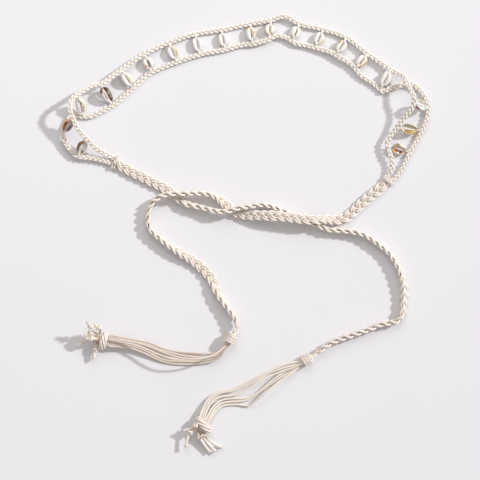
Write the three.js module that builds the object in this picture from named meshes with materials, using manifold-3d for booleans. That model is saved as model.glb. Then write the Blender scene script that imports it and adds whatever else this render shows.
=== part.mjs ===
// Rope belt of braided cotton cord with cowrie shells, laid out as worn with its ends tied in front.
// Millimetres, +Z up. Nothing here moves: every piece is one body.
import * as THREE from "three";
import Module from "manifold-3d";

const wasm = await Module();
wasm.setup();
const { Manifold, Mesh: SolidMesh } = wasm;

// Sizes of the cord, the braids and the shells
const CORD_DIAMETER = 2.2;
const THIN_BRAID_WIDTH = 5.3;
const THIN_BRAID_DEPTH = 4.2;
const THICK_BRAID_WIDTH = 10.6;
const THICK_BRAID_DEPTH = 5.5;
const SHELL_LENGTH = 15.2;
const SHELL_WIDTH = 10.2;
const SHELL_BACK_DEPTH = 2.05; // from the rung cord down to the sliced back
const SHELL_FACE_HEIGHT = 3.9; // from the rung cord up to the slit face
const SHELL_WALL = 1.1;
const SHELL_SLIT_WIDTH = 1.5;
const WRAP_LENGTH = 11;
const WRAP_RIGHT_LIFT = 0;
const WRAP_LEFT_LIFT = 3.6;
const END_KNOT_LENGTH = 9.5;
const END_KNOT_LEFT_RADIUS = 8.2;
const END_KNOT_RIGHT_RADIUS = 9.6;
const END_KNOT_HALF_HEIGHT = 8;
const CLEARANCE = 0.4; // between pieces that touch
const RUNG_CLEARANCE = 0.5; // between a rung cord and the braid that it is tied to
const CROSSING_CLEARANCE = 0.6; // where one thick braid lies over the other
const THIN_STEP = 15; // longest stretch between two sections of a thin braid
const THICK_STEP = 14;

// Sizes that follow from them
const SECTION_SIDES = 8;
const BUNDLE_RADIUS = 1.5 * CORD_DIAMETER; // six cords side by side in a whipping
const WRAP_INNER = BUNDLE_RADIUS + CLEARANCE;
const WRAP_OUTER = WRAP_INNER + CORD_DIAMETER;
const WRAP_TURNS = 4;
const TAPER_LENGTH = 1.6 * WRAP_LENGTH; // where a thick braid narrows into its whipping
const OVER_FLAT = THICK_BRAID_DEPTH + CROSSING_CLEARANCE; // lift over a braid that lies flat
const OVER_EDGE = THICK_BRAID_WIDTH + CROSSING_CLEARANCE; // lift over a braid that stands on edge
const IN_WRAP = CORD_DIAMETER + CLEARANCE; // lift of the bundle inside its whipping

// Routes. Each point is [x, y, lift of the underside, roll in degrees]; roll 90 stands on edge.
const UPPER_ROUTE = [
  [-130.4, 78.7, 1.6, 0], [-136.5, 81.6, 4.6, 0], [-147, 87.5, 7.8, 0], [-158, 98, 12.4, 0],
  [-167, 109, 16.6, 0], [-172, 119.5, 19.4, 0], [-174.5, 129, 21.4, 0], [-172.5, 137, 20.4, 0],
  [-168, 141, 18.4, 0], [-161.5, 145.5, 15.4, 0], [-152.5, 151, 11.8, 0], [-143, 153, 9.4, 0],
  [-123.5, 167, 5.6, 0], [-100, 183, 2.6, 0], [-76, 194, 1.2, 0], [-49.5, 203, 0.4, 0],
  [-23.5, 207, 0, 0], [5, 213, 0.6, 0], [25, 216.5, 1.6, 0], [40, 220.5, 3, 0],
  [53, 213.5, 1.6, 0], [78, 207.5, 0.6, 0], [100, 200, 1.4, 0], [121.5, 184, 2.4, 0],
  [142.5, 169.5, 3.4, 0], [151.5, 164, 6.4, 0], [158.5, 159.5, 10.8, 0], [162.5, 151, 15.4, 0],
  [166, 144, 17.8, 0], [168.5, 138, 18, 0], [166, 128, 15.4, 0], [158.5, 118.5, 11, 0],
  [151.5, 109.5, 7.6, 0], [147, 103, 6.2, 0], [142, 94, 5.6, 0], [144.5, 84, 5.2, 0],
  [147, 75.5, 4.1, 0], [145, 66, 2.6, 0], [140.8, 59.9, 1, 0],
];
const LOWER_ROUTE = [
  [-133.2, 73.7, 0.6, 0], [-139.4, 75.6, 1.2, 0], [-152.5, 78.5, 1.8, 0], [-167, 80.5, 2.4, 0],
  [-173, 85.5, 2.8, 0], [-179.5, 94.5, 3.2, 0], [-182, 103.5, 3.2, 0], [-177.5, 112.5, 1.6, 0],
  [-176.5, 117.7, 0.8, 0], [-170.5, 121.3, 0, 0], [-161.5, 120.5, 0, 0], [-152.5, 121.3, 0, 0],
  [-141, 127, 0, 0], [-130, 133, 0, 0], [-121, 141, 0, 0], [-113, 148, 0, 0],
  [-95, 163.5, 0.2, 0], [-69, 174.5, 0.4, 0], [-45, 182.5, 0.4, 0], [-21, 187, 0.2, 0],
  [0, 192.5, 0.4, 0], [9.5, 193.2, 1.8, 0], [23, 197, 2.6, 0], [32, 201.3, 2, 0],
  [42.5, 198.6, 1.6, 0], [51.5, 193.2, 1.2, 0], [62, 191.5, 0.8, 0], [71, 188.8, 1.2, 0],
  [85, 185, 2.4, 0], [96.5, 178.7, 3, 0], [106.5, 172, 2.2, 0], [115.5, 162, 1.2, 0],
  [125.5, 155, 0.6, 0], [132.5, 149.7, 0.4, 0], [138, 145.8, 0.8, 0], [146, 149, 2.2, 0],
  [154, 151.2, 3.2, 0], [161.5, 154.3, 3.4, 0], [169, 152, 2.9, 0], [177, 144.3, 1.8, 0],
  [182, 136, 1.4, 0], [183, 130.2, 1.6, 0], [182.3, 120.3, 1.8, 0], [179, 111, 1.8, 0],
  [173.1, 99.2, 1.4, 0], [165, 85, 1.4, 0], [160, 74.4, 1.2, 0], [152, 61, 0.8, 0],
  [145.4, 55.9, 0.6, 0],
];
const LEFT_END_ROUTE = [
  [-130, 75, 0, 0], [-114.7, 65.8, 0, 0], [-102.6, 60, 0, 0], [-91.6, 54.5, 0, 0], [-79.6, 48.3, 0, 0],
  [-71.8, 43, 0, -3], [-63, 36.5, 0.3, -42], [-54, 32, 0.8, -75], [-45, 30, 1.6, -85],
  [-36, 27.5, 3, -90], [-27.5, 25.5, OVER_FLAT - 1.6, -90], [-20, 25.5, OVER_FLAT, -90],
  [-13, 27, OVER_FLAT, -90], [-6, 29, OVER_FLAT, -90], [3.5, 30.5, OVER_FLAT - 2, -90],
  [16, 32, 2, -90], [26.5, 30.5, 0.5, -90], [36, 27, 0, -90], [48, 22, 0, -90],
  [59, 17.5, 0, -90], [68, 13.5, 0, -90], [76, 10, 0, -90], [83.5, 7.2, 0, -90],
  [94, 6.5, 0, -90], [108, 5, 0, -90], [121, 1, 0, -90], [130, -5, 0, -90],
  [144.5, -17, 0, -90], [154, -32.5, 0, -85], [157, -41, 0, -72], [159, -50, 0, -58],
  [159.3, -60.5, 0, -50], [158.6, -72, 0, -55], [157, -79, 0, -70], [152.8, -83.6, 0, -85],
  [146.5, -85.4, 0, -90], [135.5, -87.5, 0, -90], [124.5, -92, 0, -90], [108.5, -97.5, 0, -90],
  [92, -103, 0, -90], [82, -108, 0.6, -90], [73.5, -114.6, IN_WRAP + WRAP_RIGHT_LIFT, -90],
  [67.6, -119, IN_WRAP + WRAP_RIGHT_LIFT, -90], [63.2, -121.7, IN_WRAP + WRAP_RIGHT_LIFT, -90],
];
const RIGHT_END_ROUTE = [
  [142, 56.5, 0, 0], [134.6, 48.2, 0, 0], [122.2, 38.8, 0, 0], [109.4, 26.4, 0, 0], [99, 18.6, 0, 0],
  [90.4, 16.9, 0.4, 0], [83, 17.6, 3.4, 12], [75, 17.4, 8, 24], [67, 17.2, OVER_EDGE - 0.2, 12],
  [59, 17.8, OVER_EDGE, 0], [50, 19, OVER_EDGE, 0], [40, 20.2, OVER_EDGE, 0],
  [27, 21.3, OVER_EDGE - 1.4, 0], [12.5, 21.6, 5.6, 0], [1, 22.3, 1.8, 0], [-7, 24, 0.2, 0],
  [-14, 28, 0, 0], [-20, 33, 0, 12], [-26, 38.4, 0.6, 45], [-32.5, 42, 1.4, 75],
  [-41, 43.5, 2.8, 90], [-50, 43.6, 4, 90], [-60, 43.5, 6.6, 90], [-70, 43.2, OVER_FLAT + 1.1, 90],
  [-79, 42, OVER_FLAT, 90], [-86, 39.5, 5.2, 90], [-91.5, 35.5, 3.2, 90], [-95.5, 29, 1.2, 90],
  [-97, 18, 0, 90], [-95, 8, 0, 90], [-87.4, 0.4, 0, 90], [-78.3, -7, 0, 98], [-68.2, -13.4, 0, 122],
  [-55.4, -21.4, 0, 152], [-43.8, -30.4, 0, 180], [-33.8, -41.5, 0, 165], [-28.2, -53.2, 0, 130],
  [-22.8, -63.8, 0.2, 97], [-16, -73, 1, 90], [-10, -81, 2.4, 90],
  [-8, -88.5, 0.7 * IN_WRAP + WRAP_LEFT_LIFT, 90], [-9.9, -95, IN_WRAP + WRAP_LEFT_LIFT, 90],
  [-13.3, -100.2, IN_WRAP + WRAP_LEFT_LIFT, 90],
];

// Rungs: where the cord leaves the upper and the lower braid, how far the shell is turned about it
// in degrees (0 has the slit up, 180 the sliced back up), and its length as a share of the usual one.
const RUNGS = [
  ["01", [-159.5, 97.5], [-166.5, 81], 150, 0.89],
  ["02", [-172, 118.5], [-182, 104], 180, 0.95],
  ["03", [-166, 142], [-161.5, 121], 2, 1.12],
  ["04", [-144.5, 152.5], [-132.5, 132], 150, 1.12],
  ["05", [-123.7, 167], [-112.8, 148.8], -8, 0.96],
  ["06", [-100, 183], [-93, 164.5], 12, 0.83],
  ["07", [-76.5, 194], [-68, 175], 0, 0.91],
  ["08", [-49.8, 203], [-45.5, 182.5], 0, 0.94],
  ["09", [-23.5, 207], [-20, 187], 0, 0.88],
  ["10", [5, 213], [7.5, 193], 0, 0.89],
  ["11", [26, 216.5], [24, 197.5], 6, 0.69],
  ["12", [53.5, 213.3], [47, 196], -20, 0.77],
  ["13", [78, 207.5], [70, 189], 0, 0.85],
  ["14", [101.5, 199], [91.5, 181.5], 10, 0.87],
  ["15", [122.5, 183.5], [110.5, 167.5], 0, 0.84],
  ["16", [145.5, 167.8], [135.5, 147.5], 0, 1.04],
  ["17", [167.8, 134.5], [183, 128.8], 165, 1],
  ["18", [151.4, 109.2], [176.4, 105.8], 180, 1.12],
  ["19", [142.3, 91.6], [164.4, 84], 200, 0.94],
];

// A shell's outline: place along it, then its half width and half height, as shares of its sizes
const SHELL_SECTIONS = [
  [-0.5, 0.42, 0.52],
  [-0.36, 0.76, 0.8],
  [-0.08, 1, 1],
  [0.18, 0.92, 0.95],
  [0.39, 0.64, 0.7],
  [0.5, 0.38, 0.48],
];
const HOLLOW_STATIONS = [0, 2, 5]; // the stations that the hollow inside follows
const HOLLOW_SIDES = 6;

// Whippings: middle and direction on the ground, and how high the underside lies
const WRAPS = {
  right: { middle: [61.9, -122.5], heading: [-0.855, -0.52], lift: WRAP_RIGHT_LIFT },
  left: { middle: [-14, -101.25], heading: [-0.547, -0.837], lift: WRAP_LEFT_LIFT },
};

// Loose cords: how many lie side by side, then the middle of the lock at each point
const FRINGE_RIGHT = [
  [3, [[55.4, -126.1, 5.9], [47, -128.4, 5.9], [35, -132.4, 5.6], [24, -137, 5.2], [12, -142.6, 4.8],
    [0, -149, 4], [-12, -154.8, 3.4], [-24, -157, 3.2], [-33, -161.8, 3.8], [-39, -170, 5.6],
    [-42.3, -179.9, 8]]],
  [2, [[55, -127, 5.2], [45, -133, 4.2], [35, -138.8, 3.4], [25, -146.4, 2.8], [14, -155.6, 2.4],
    [5, -161.2, 2.2], [-4, -162.8, 2.2], [-14, -162.8, 2.2], [-24, -164.6, 2.4], [-30.8, -170, 4],
    [-38.3, -183.1, 7.4]]],
  [1, [[54.6, -128, 5.4], [44, -136.6, 6], [33, -143.8, 7], [27, -148.8, 7.6], [18, -157.6, 7],
    [11, -163.4, 5], [3.6, -168.4, 2.2], [-5, -168, 1.4], [-12, -168, 1.4], [-22, -169.6, 2],
    [-29.4, -174.6, 3.6], [-35.4, -182.4, 6.6]]],
];
const FRINGE_LEFT = [
  [2, [[-18, -107.2, 9.4], [-21.6, -112, 8.4], [-28, -116.2, 6], [-38, -118.2, 3.8],
    [-55, -117.6, 2.8], [-70, -115.7, 2.8], [-82, -112.8, 3.2], [-95, -107, 4.6],
    [-110, -103.2, 6.4], [-124, -100.6, 8], [-135.4, -99.4, 9]]],
  [3, [[-18.2, -108, 8.6], [-23.6, -114.6, 6.8], [-30, -120.6, 4.2], [-41, -123.6, 2.4],
    [-55, -125, 1.6], [-71, -124, 1.6], [-83, -121, 2], [-96, -115.6, 3.2], [-110, -110, 5],
    [-124, -107.2, 7], [-135.2, -106.4, 8.4]]],
  [1, [[-18, -107, 10.4], [-22.6, -111.8, 12], [-31, -117.4, 15.4], [-42, -120.8, 18.8],
    [-55, -121.5, 20.6], [-68, -120, 20.6], [-82, -115.4, 19.2], [-96, -109.4, 16.8],
    [-110, -105.4, 14.4], [-124, -103.4, 12.8], [-135, -102.8, 12]]],
];

// End knots: middle, heading along the cord, half width, and the short ends [bend, tip]
const END_KNOTS = {
  right: {
    middle: [-41.4, -187.6], heading: [-0.5, -0.866], half: END_KNOT_RIGHT_RADIUS,
    ends: [
      [[-52, -193, 10], [-60, -193.6, 8.5]],
      [[-53, -199, 8], [-59.4, -208, 8.5]],
      [[-46.5, -199, 5], [-49.6, -206.4, 3]],
      [[-43.6, -200.5, 5], [-39, -212, 4.4]],
      [[-38, -200, 6], [-33.6, -212.6, 5]],
      [[-34, -198, 5], [-24, -208.6, 3.2]],
    ],
  },
  left: {
    middle: [-141, -103.6], heading: [-0.995, -0.1], half: END_KNOT_LEFT_RADIUS,
    ends: [
      [[-151, -97, 16], [-157, -86.4, 25.6]],
      [[-148.6, -95, 14], [-150, -85.4, 19.6]],
      [[-147, -94.6, 10], [-143.4, -88.2, 13]],
      [[-153, -104.6, 8], [-163.4, -106.2, 7]],
      [[-149.6, -111, 6], [-152, -121.4, 3]],
      [[-150.6, -99, 11], [-155.4, -97, 15]],
    ],
  },
};

const CORD_COLOUR = 0xefe3cc;
const SHELL_COLOUR = 0xf6efe4;
const cotton = new THREE.MeshStandardMaterial({ name: "cotton cord", color: CORD_COLOUR, roughness: 0.9 });
const shell = new THREE.MeshStandardMaterial({ name: "cowrie shell", color: SHELL_COLOUR, roughness: 0.3 });
const UP = new THREE.Vector3(0, 0, 1);
const radians = THREE.MathUtils.degToRad;

// Closed outlines and lofts

function regularOutline(halfWidth, halfDepth, sides = SECTION_SIDES) {
  const reach = 1 / Math.cos(Math.PI / sides);
  return Array.from({ length: sides }, (_, i) => {
    const angle = ((i + 0.5) / sides) * 2 * Math.PI;
    return [halfWidth * reach * Math.cos(angle), halfDepth * reach * Math.sin(angle)];
  });
}

function rolledHalfHeight(outline, roll) {
  return Math.max(...outline.map(([a, b]) => Math.abs(a * Math.sin(roll) + b * Math.cos(roll))));
}

function solidFrom(rings) {
  const sides = rings[0].length;
  const vertices = rings.flat().flatMap((p) => [p.x, p.y, p.z]);
  const faces = [];
  for (let r = 0; r + 1 < rings.length; r++)
    for (let i = 0; i < sides; i++) {
      const a = r * sides + i;
      const b = r * sides + ((i + 1) % sides);
      faces.push(a, b, b + sides, a, b + sides, a + sides);
    }
  const last = (rings.length - 1) * sides;
  for (let i = 1; i + 1 < sides; i++) {
    faces.push(0, i + 1, i);
    faces.push(last, last + i, last + i + 1);
  }
  return new Manifold(
    new SolidMesh({
      numProp: 3,
      vertProperties: new Float32Array(vertices),
      triVerts: new Uint32Array(faces),
    }),
  );
}

// A section's own axes: across to the left of the route, and up
function axesAt(tangent, roll) {
  const left = new THREE.Vector3().crossVectors(UP, tangent).normalize();
  const top = new THREE.Vector3().crossVectors(tangent, left);
  return {
    across: left.clone().multiplyScalar(Math.cos(roll)).addScaledVector(top, Math.sin(roll)),
    over: top.clone().multiplyScalar(Math.cos(roll)).addScaledVector(left, -Math.sin(roll)),
  };
}

function ringAt(outline, centre, tangent, roll) {
  const { across, over } = axesAt(tangent, roll);
  return outline.map(([a, b]) => centre.clone().addScaledVector(across, a).addScaledVector(over, b));
}

// A section never reaches below the surface that the belt lies on
function settled(ring) {
  const sunk = Math.min(0, ...ring.map((point) => point.z));
  ring.forEach((point) => {
    point.z -= sunk;
  });
  return ring;
}

// Sections along a smooth curve through the points, no further apart than the step
function sectionsAlong(points, step) {
  const curve = new THREE.CatmullRomCurve3(points.map(({ at }) => at));
  const spans = points.length - 1;
  const sections = [];
  for (let s = 0; s < spans; s++) {
    const cuts = Math.max(1, Math.ceil(points[s].at.distanceTo(points[s + 1].at) / step));
    for (let c = 0; c < cuts + (s + 1 === spans ? 1 : 0); c++) {
      const share = c / cuts;
      const t = (s + share) / spans;
      sections.push({
        at: curve.getPoint(t),
        tangent: curve.getTangent(t),
        roll: THREE.MathUtils.lerp(points[s].roll, points[Math.min(s + 1, spans)].roll, share),
      });
    }
  }
  let travelled = 0;
  sections.forEach((section, i) => {
    if (i) travelled += section.at.distanceTo(sections[i - 1].at);
    section.travelled = travelled;
  });
  sections.forEach((section) => {
    section.remaining = travelled - section.travelled;
  });
  return sections;
}

function braidPoints(route, width, depth, roundEnd = false) {
  const outline = regularOutline(width / 2, depth / 2);
  const bundle = regularOutline(BUNDLE_RADIUS, BUNDLE_RADIUS);
  return route.map(([x, y, lift, degrees], i) => {
    const roll = radians(degrees);
    const shape = roundEnd && i >= route.length - 3 ? bundle : outline;
    return { at: new THREE.Vector3(x, y, lift + rolledHalfHeight(shape, roll)), roll };
  });
}

function braid(route, width, depth, step, roundEnd = false) {
  const sections = sectionsAlong(braidPoints(route, width, depth, roundEnd), step);
  const rings = sections.map(({ at, tangent, roll, remaining }) => {
    const full = roundEnd
      ? THREE.MathUtils.smoothstep(remaining, WRAP_LENGTH * 0.62, TAPER_LENGTH)
      : 1;
    const halfWidth = THREE.MathUtils.lerp(BUNDLE_RADIUS, width / 2, full);
    const halfDepth = THREE.MathUtils.lerp(BUNDLE_RADIUS, depth / 2, full);
    return settled(ringAt(regularOutline(halfWidth, halfDepth), at, tangent, roll));
  });
  return { sections, solid: solidFrom(rings) };
}

function cordAlong(points, cords, step) {
  const outline = regularOutline((cords * CORD_DIAMETER) / 2, CORD_DIAMETER / 2);
  const placed = points.map(([x, y, z]) => ({ at: new THREE.Vector3(x, y, z), roll: 0 }));
  const rings = sectionsAlong(placed, step).map(({ at, tangent, roll }) =>
    ringAt(outline, at, tangent, roll),
  );
  return solidFrom(rings);
}

function straightBar(from, to, radius, sides = SECTION_SIDES) {
  const tangent = new THREE.Vector3().subVectors(to, from).normalize();
  const outline = regularOutline(radius, radius, sides);
  return solidFrom([ringAt(outline, from, tangent, 0), ringAt(outline, to, tangent, 0)]);
}

// The nearest section of a braid to a place on the ground
function nearestOn(sections, [x, y]) {
  let best = null;
  for (let i = 0; i + 1 < sections.length; i++) {
    const a = sections[i];
    const b = sections[i + 1];
    const run = new THREE.Vector2(b.at.x - a.at.x, b.at.y - a.at.y);
    const share = THREE.MathUtils.clamp(
      ((x - a.at.x) * run.x + (y - a.at.y) * run.y) / run.lengthSq(),
      0,
      1,
    );
    const at = a.at.clone().lerp(b.at, share);
    const away = Math.hypot(at.x - x, at.y - y);
    if (!best || away < best.away)
      best = { away, at, tangent: new THREE.Vector3().subVectors(b.at, a.at).normalize() };
  }
  return best;
}

// How far along the rung its cord first clears the braid it is tied to
function clearOfBraid(section, heading) {
  const { across, over } = axesAt(section.tangent, 0);
  const around = axesAt(heading, 0);
  const halfWidth = THIN_BRAID_WIDTH / 2 + RUNG_CLEARANCE;
  const halfDepth = THIN_BRAID_DEPTH / 2 + RUNG_CLEARANCE;
  const rim = regularOutline(CORD_DIAMETER / 2, CORD_DIAMETER / 2);
  for (let run = 0; ; run += 0.05) {
    const clear = rim.every(([a, b]) => {
      const point = heading
        .clone()
        .multiplyScalar(run)
        .addScaledVector(around.across, a)
        .addScaledVector(around.over, b);
      const u = Math.abs(point.dot(across)) / halfWidth;
      const v = Math.abs(point.dot(over)) / halfDepth;
      return Math.max(u, v, (u + v) / Math.SQRT2) >= 1;
    });
    if (clear) return run;
  }
}

// One shell in its own frame: x along the rung cord, z towards the slit
function cowrie(length) {
  const loft = (inset, stations, sides) =>
    solidFrom(
      stations.map(([along, wide, high]) => {
        const x = along * (length - 2 * inset);
        const halfWidth = (wide * SHELL_WIDTH) / 2 - inset;
        const halfHeight = high * SHELL_FACE_HEIGHT - inset;
        return regularOutline(halfWidth, halfHeight, sides).map(
          ([y, z]) => new THREE.Vector3(x, y, z),
        );
      }),
    );
  const reach = 2 * length;
  const back = Manifold.cube([reach, reach, reach], true).translate([
    0,
    0,
    -SHELL_BACK_DEPTH - reach / 2,
  ]);
  const slit = Manifold.cube([0.62 * length, SHELL_SLIT_WIDTH, 2 * SHELL_FACE_HEIGHT], true).translate([
    0,
    0,
    SHELL_FACE_HEIGHT,
  ]);
  const notches = straightBar(
    new THREE.Vector3(-reach, 0, 0),
    new THREE.Vector3(reach, 0, 0),
    CORD_DIAMETER / 2 / Math.cos(Math.PI / SECTION_SIDES) + CLEARANCE,
    HOLLOW_SIDES,
  );
  const hollow = loft(
    SHELL_WALL,
    SHELL_SECTIONS.filter((_, i) => HOLLOW_STATIONS.includes(i)),
    HOLLOW_SIDES,
  );
  return loft(0, SHELL_SECTIONS, SECTION_SIDES)
    .subtract(hollow)
    .subtract(back)
    .subtract(slit)
    .subtract(notches);
}

// A whipping: a hollow collar with one ridge per turn
function whipping({ middle, heading, lift }) {
  const axis = new THREE.Vector3(...heading, 0).normalize();
  const centre = new THREE.Vector3(...middle, lift + WRAP_OUTER);
  const rings = Array.from({ length: 2 * WRAP_TURNS + 1 }, (_, i) => {
    const radius = i % 2 ? WRAP_OUTER : WRAP_OUTER - 0.3 * CORD_DIAMETER;
    const at = centre.clone().addScaledVector(axis, (i / (2 * WRAP_TURNS) - 0.5) * WRAP_LENGTH);
    return ringAt(regularOutline(radius, radius), at, axis, 0);
  });
  const hole = straightBar(
    centre.clone().addScaledVector(axis, -WRAP_LENGTH),
    centre.clone().addScaledVector(axis, WRAP_LENGTH),
    WRAP_INNER,
  );
  return solidFrom(rings).subtract(hole);
}

// Loose cords: locks fused to one head that starts inside the whipping
function fringe(locks, { middle, heading, lift }) {
  const axis = new THREE.Vector3(...heading, 0).normalize();
  const centre = new THREE.Vector3(...middle, lift + WRAP_OUTER);
  const head = straightBar(
    centre.clone(),
    centre.clone().addScaledVector(axis, 0.75 * WRAP_LENGTH),
    BUNDLE_RADIUS,
  );
  return Manifold.union([head, ...locks.map(([cords, points]) => cordAlong(points, cords, 16))]);
}

// An overhand knot: two fat turns round the cords, and the short ends behind it
const KNOT_SECTIONS = [
  [-0.5, 0.5], [-0.36, 0.94], [-0.14, 1], [0.02, 0.8], [0.16, 0.9], [0.34, 0.72], [0.5, 0.36],
];

function endKnot({ middle, heading, half, ends }) {
  const axis = new THREE.Vector3(...heading, 0).normalize();
  const centre = new THREE.Vector3(...middle, END_KNOT_HALF_HEIGHT);
  const rings = KNOT_SECTIONS.map(([along, share]) =>
    ringAt(
      regularOutline(half * share, END_KNOT_HALF_HEIGHT * share),
      centre.clone().addScaledVector(axis, along * END_KNOT_LENGTH),
      axis,
      0,
    ),
  );
  const tail = centre.clone().addScaledVector(axis, 0.3 * END_KNOT_LENGTH).toArray();
  const shorts = ends.map((points) => cordAlong([tail, ...points], 1, 40));
  return Manifold.union([solidFrom(rings), ...shorts]);
}

// Assembly

const belt = new THREE.Group();
belt.name = "rope_belt";

function add(name, solid, material) {
  const { numProp, vertProperties, triVerts } = solid.getMesh();
  const positions = new Float32Array(triVerts.length * 3);
  triVerts.forEach((vertex, i) => {
    for (let k = 0; k < 3; k++) positions[3 * i + k] = vertProperties[vertex * numProp + k];
  });
  const geometry = new THREE.BufferGeometry();
  geometry.setAttribute("position", new THREE.BufferAttribute(positions, 3));
  geometry.computeVertexNormals();
  const mesh = new THREE.Mesh(geometry, material);
  mesh.name = name;
  belt.add(mesh);
}

const upper = braid(UPPER_ROUTE, THIN_BRAID_WIDTH, THIN_BRAID_DEPTH, THIN_STEP);
const lower = braid(LOWER_ROUTE, THIN_BRAID_WIDTH, THIN_BRAID_DEPTH, THIN_STEP);
const leftEnd = braid(LEFT_END_ROUTE, THICK_BRAID_WIDTH, THICK_BRAID_DEPTH, THICK_STEP, true);
const rightEnd = braid(RIGHT_END_ROUTE, THICK_BRAID_WIDTH, THICK_BRAID_DEPTH, THICK_STEP, true);
add("braid_upper", upper.solid, cotton);
add("braid_lower", lower.solid, cotton);
add("belt_end_left", leftEnd.solid, cotton);
add("belt_end_right", rightEnd.solid, cotton);

for (const [number, onUpper, onLower, turn, share] of RUNGS) {
  const from = nearestOn(upper.sections, onUpper);
  const to = nearestOn(lower.sections, onLower);
  const heading = new THREE.Vector3().subVectors(to.at, from.at).normalize();
  const span = from.at.distanceTo(to.at);
  const start = clearOfBraid(from, heading);
  const finish = span - clearOfBraid(to, heading.clone().negate());
  const alongRung = (run) => from.at.clone().addScaledVector(heading, run);
  add(`rung_${number}`, straightBar(alongRung(start), alongRung(finish), CORD_DIAMETER / 2), cotton);

  const { across, over } = axesAt(heading, radians(turn));
  const placed = new THREE.Matrix4()
    .makeBasis(heading, across, over)
    .setPosition(alongRung((start + finish) / 2));
  const made = cowrie(SHELL_LENGTH * share).transform(placed.toArray());
  add(`cowrie_${number}`, made, shell);
}

add("wrap_left", whipping(WRAPS.left), cotton);
add("wrap_right", whipping(WRAPS.right), cotton);
add("fringe_left", fringe(FRINGE_LEFT, WRAPS.left), cotton);
add("fringe_right", fringe(FRINGE_RIGHT, WRAPS.right), cotton);
add("end_knot_left", endKnot(END_KNOTS.left), cotton);
add("end_knot_right", endKnot(END_KNOTS.right), cotton);

// The origin is the middle of the belt's outline, on the surface it lies on
const box = new THREE.Box3().setFromObject(belt);
const middle = box.getCenter(new THREE.Vector3());
belt.position.set(-middle.x, -middle.y, -box.min.z);

export default belt;
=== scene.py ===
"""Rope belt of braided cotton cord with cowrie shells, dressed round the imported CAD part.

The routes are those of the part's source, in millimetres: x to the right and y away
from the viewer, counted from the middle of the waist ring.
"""
import math

import bpy
import numpy as np
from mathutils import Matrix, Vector
from mathutils.kdtree import KDTree


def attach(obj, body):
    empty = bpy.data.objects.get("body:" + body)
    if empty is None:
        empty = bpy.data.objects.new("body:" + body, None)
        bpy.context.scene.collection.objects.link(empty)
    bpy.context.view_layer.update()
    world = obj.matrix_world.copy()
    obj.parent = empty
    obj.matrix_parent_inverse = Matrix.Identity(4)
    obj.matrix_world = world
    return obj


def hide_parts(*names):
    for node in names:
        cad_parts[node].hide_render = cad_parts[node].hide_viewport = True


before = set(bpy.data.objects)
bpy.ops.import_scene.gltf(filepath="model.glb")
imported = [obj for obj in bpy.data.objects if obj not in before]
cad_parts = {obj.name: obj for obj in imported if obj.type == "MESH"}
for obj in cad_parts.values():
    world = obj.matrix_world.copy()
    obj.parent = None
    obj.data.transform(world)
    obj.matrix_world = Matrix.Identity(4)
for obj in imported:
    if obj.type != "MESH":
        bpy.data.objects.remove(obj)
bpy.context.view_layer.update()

MM = 0.001
PART_SHIFT = np.array([-0.501, -5.069, 0.0])  # from the routes' own origin to the part's

# Sizes of the cord, the braids and the shells, as in the part
CORD_DIAMETER = 2.2
CORD_RADIUS = CORD_DIAMETER / 2
THIN_BRAID_WIDTH = 5.3
THIN_BRAID_DEPTH = 4.2
THICK_BRAID_WIDTH = 10.6
THICK_BRAID_DEPTH = 5.5
SHELL_LENGTH = 15.2
SHELL_WIDTH = 10.2
SHELL_BACK_DEPTH = 2.05
SHELL_FACE_HEIGHT = 3.9
WRAP_LENGTH = 11
WRAP_RIGHT_LIFT = 0
WRAP_LEFT_LIFT = 3.6
END_KNOT_HALF_HEIGHT = 8
CLEARANCE = 0.4
RUNG_CLEARANCE = 0.5
CROSSING_CLEARANCE = 0.6
THIN_STEP = 15  # longest stretch between two sections of the part's thin braid
BUNDLE_RADIUS = 1.5 * CORD_DIAMETER
WRAP_OUTER = BUNDLE_RADIUS + CLEARANCE + CORD_DIAMETER
TAPER_LENGTH = 1.6 * WRAP_LENGTH
OVER_FLAT = THICK_BRAID_DEPTH + CROSSING_CLEARANCE
OVER_EDGE = THICK_BRAID_WIDTH + CROSSING_CLEARANCE
IN_WRAP = CORD_DIAMETER + CLEARANCE
CORNER_TURNS = (np.arange(8) + 0.5) / 8 * 2 * math.pi  # the corners of the part's eight-sided sections
CORNER_REACH = 1 / math.cos(math.pi / 8)

# Routes: x, y, lift of the underside, and the roll in degrees where a braid has one
UPPER_ROUTE = [
    (-130.4, 78.7, 1.6), (-136.5, 81.6, 4.6), (-147, 87.5, 7.8), (-158, 98, 12.4), (-167, 109, 16.6),
    (-172, 119.5, 19.4), (-174.5, 129, 21.4), (-172.5, 137, 20.4), (-168, 141, 18.4),
    (-161.5, 145.5, 15.4), (-152.5, 151, 11.8), (-143, 153, 9.4), (-123.5, 167, 5.6), (-100, 183, 2.6),
    (-76, 194, 1.2), (-49.5, 203, 0.4), (-23.5, 207, 0), (5, 213, 0.6), (25, 216.5, 1.6),
    (40, 220.5, 3), (53, 213.5, 1.6), (78, 207.5, 0.6), (100, 200, 1.4), (121.5, 184, 2.4),
    (142.5, 169.5, 3.4), (151.5, 164, 6.4), (158.5, 159.5, 10.8), (162.5, 151, 15.4), (166, 144, 17.8),
    (168.5, 138, 18), (166, 128, 15.4), (158.5, 118.5, 11), (151.5, 109.5, 7.6), (147, 103, 6.2),
    (142, 94, 5.6), (144.5, 84, 5.2), (147, 75.5, 4.1), (145, 66, 2.6), (140.8, 59.9, 1),
]
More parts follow.
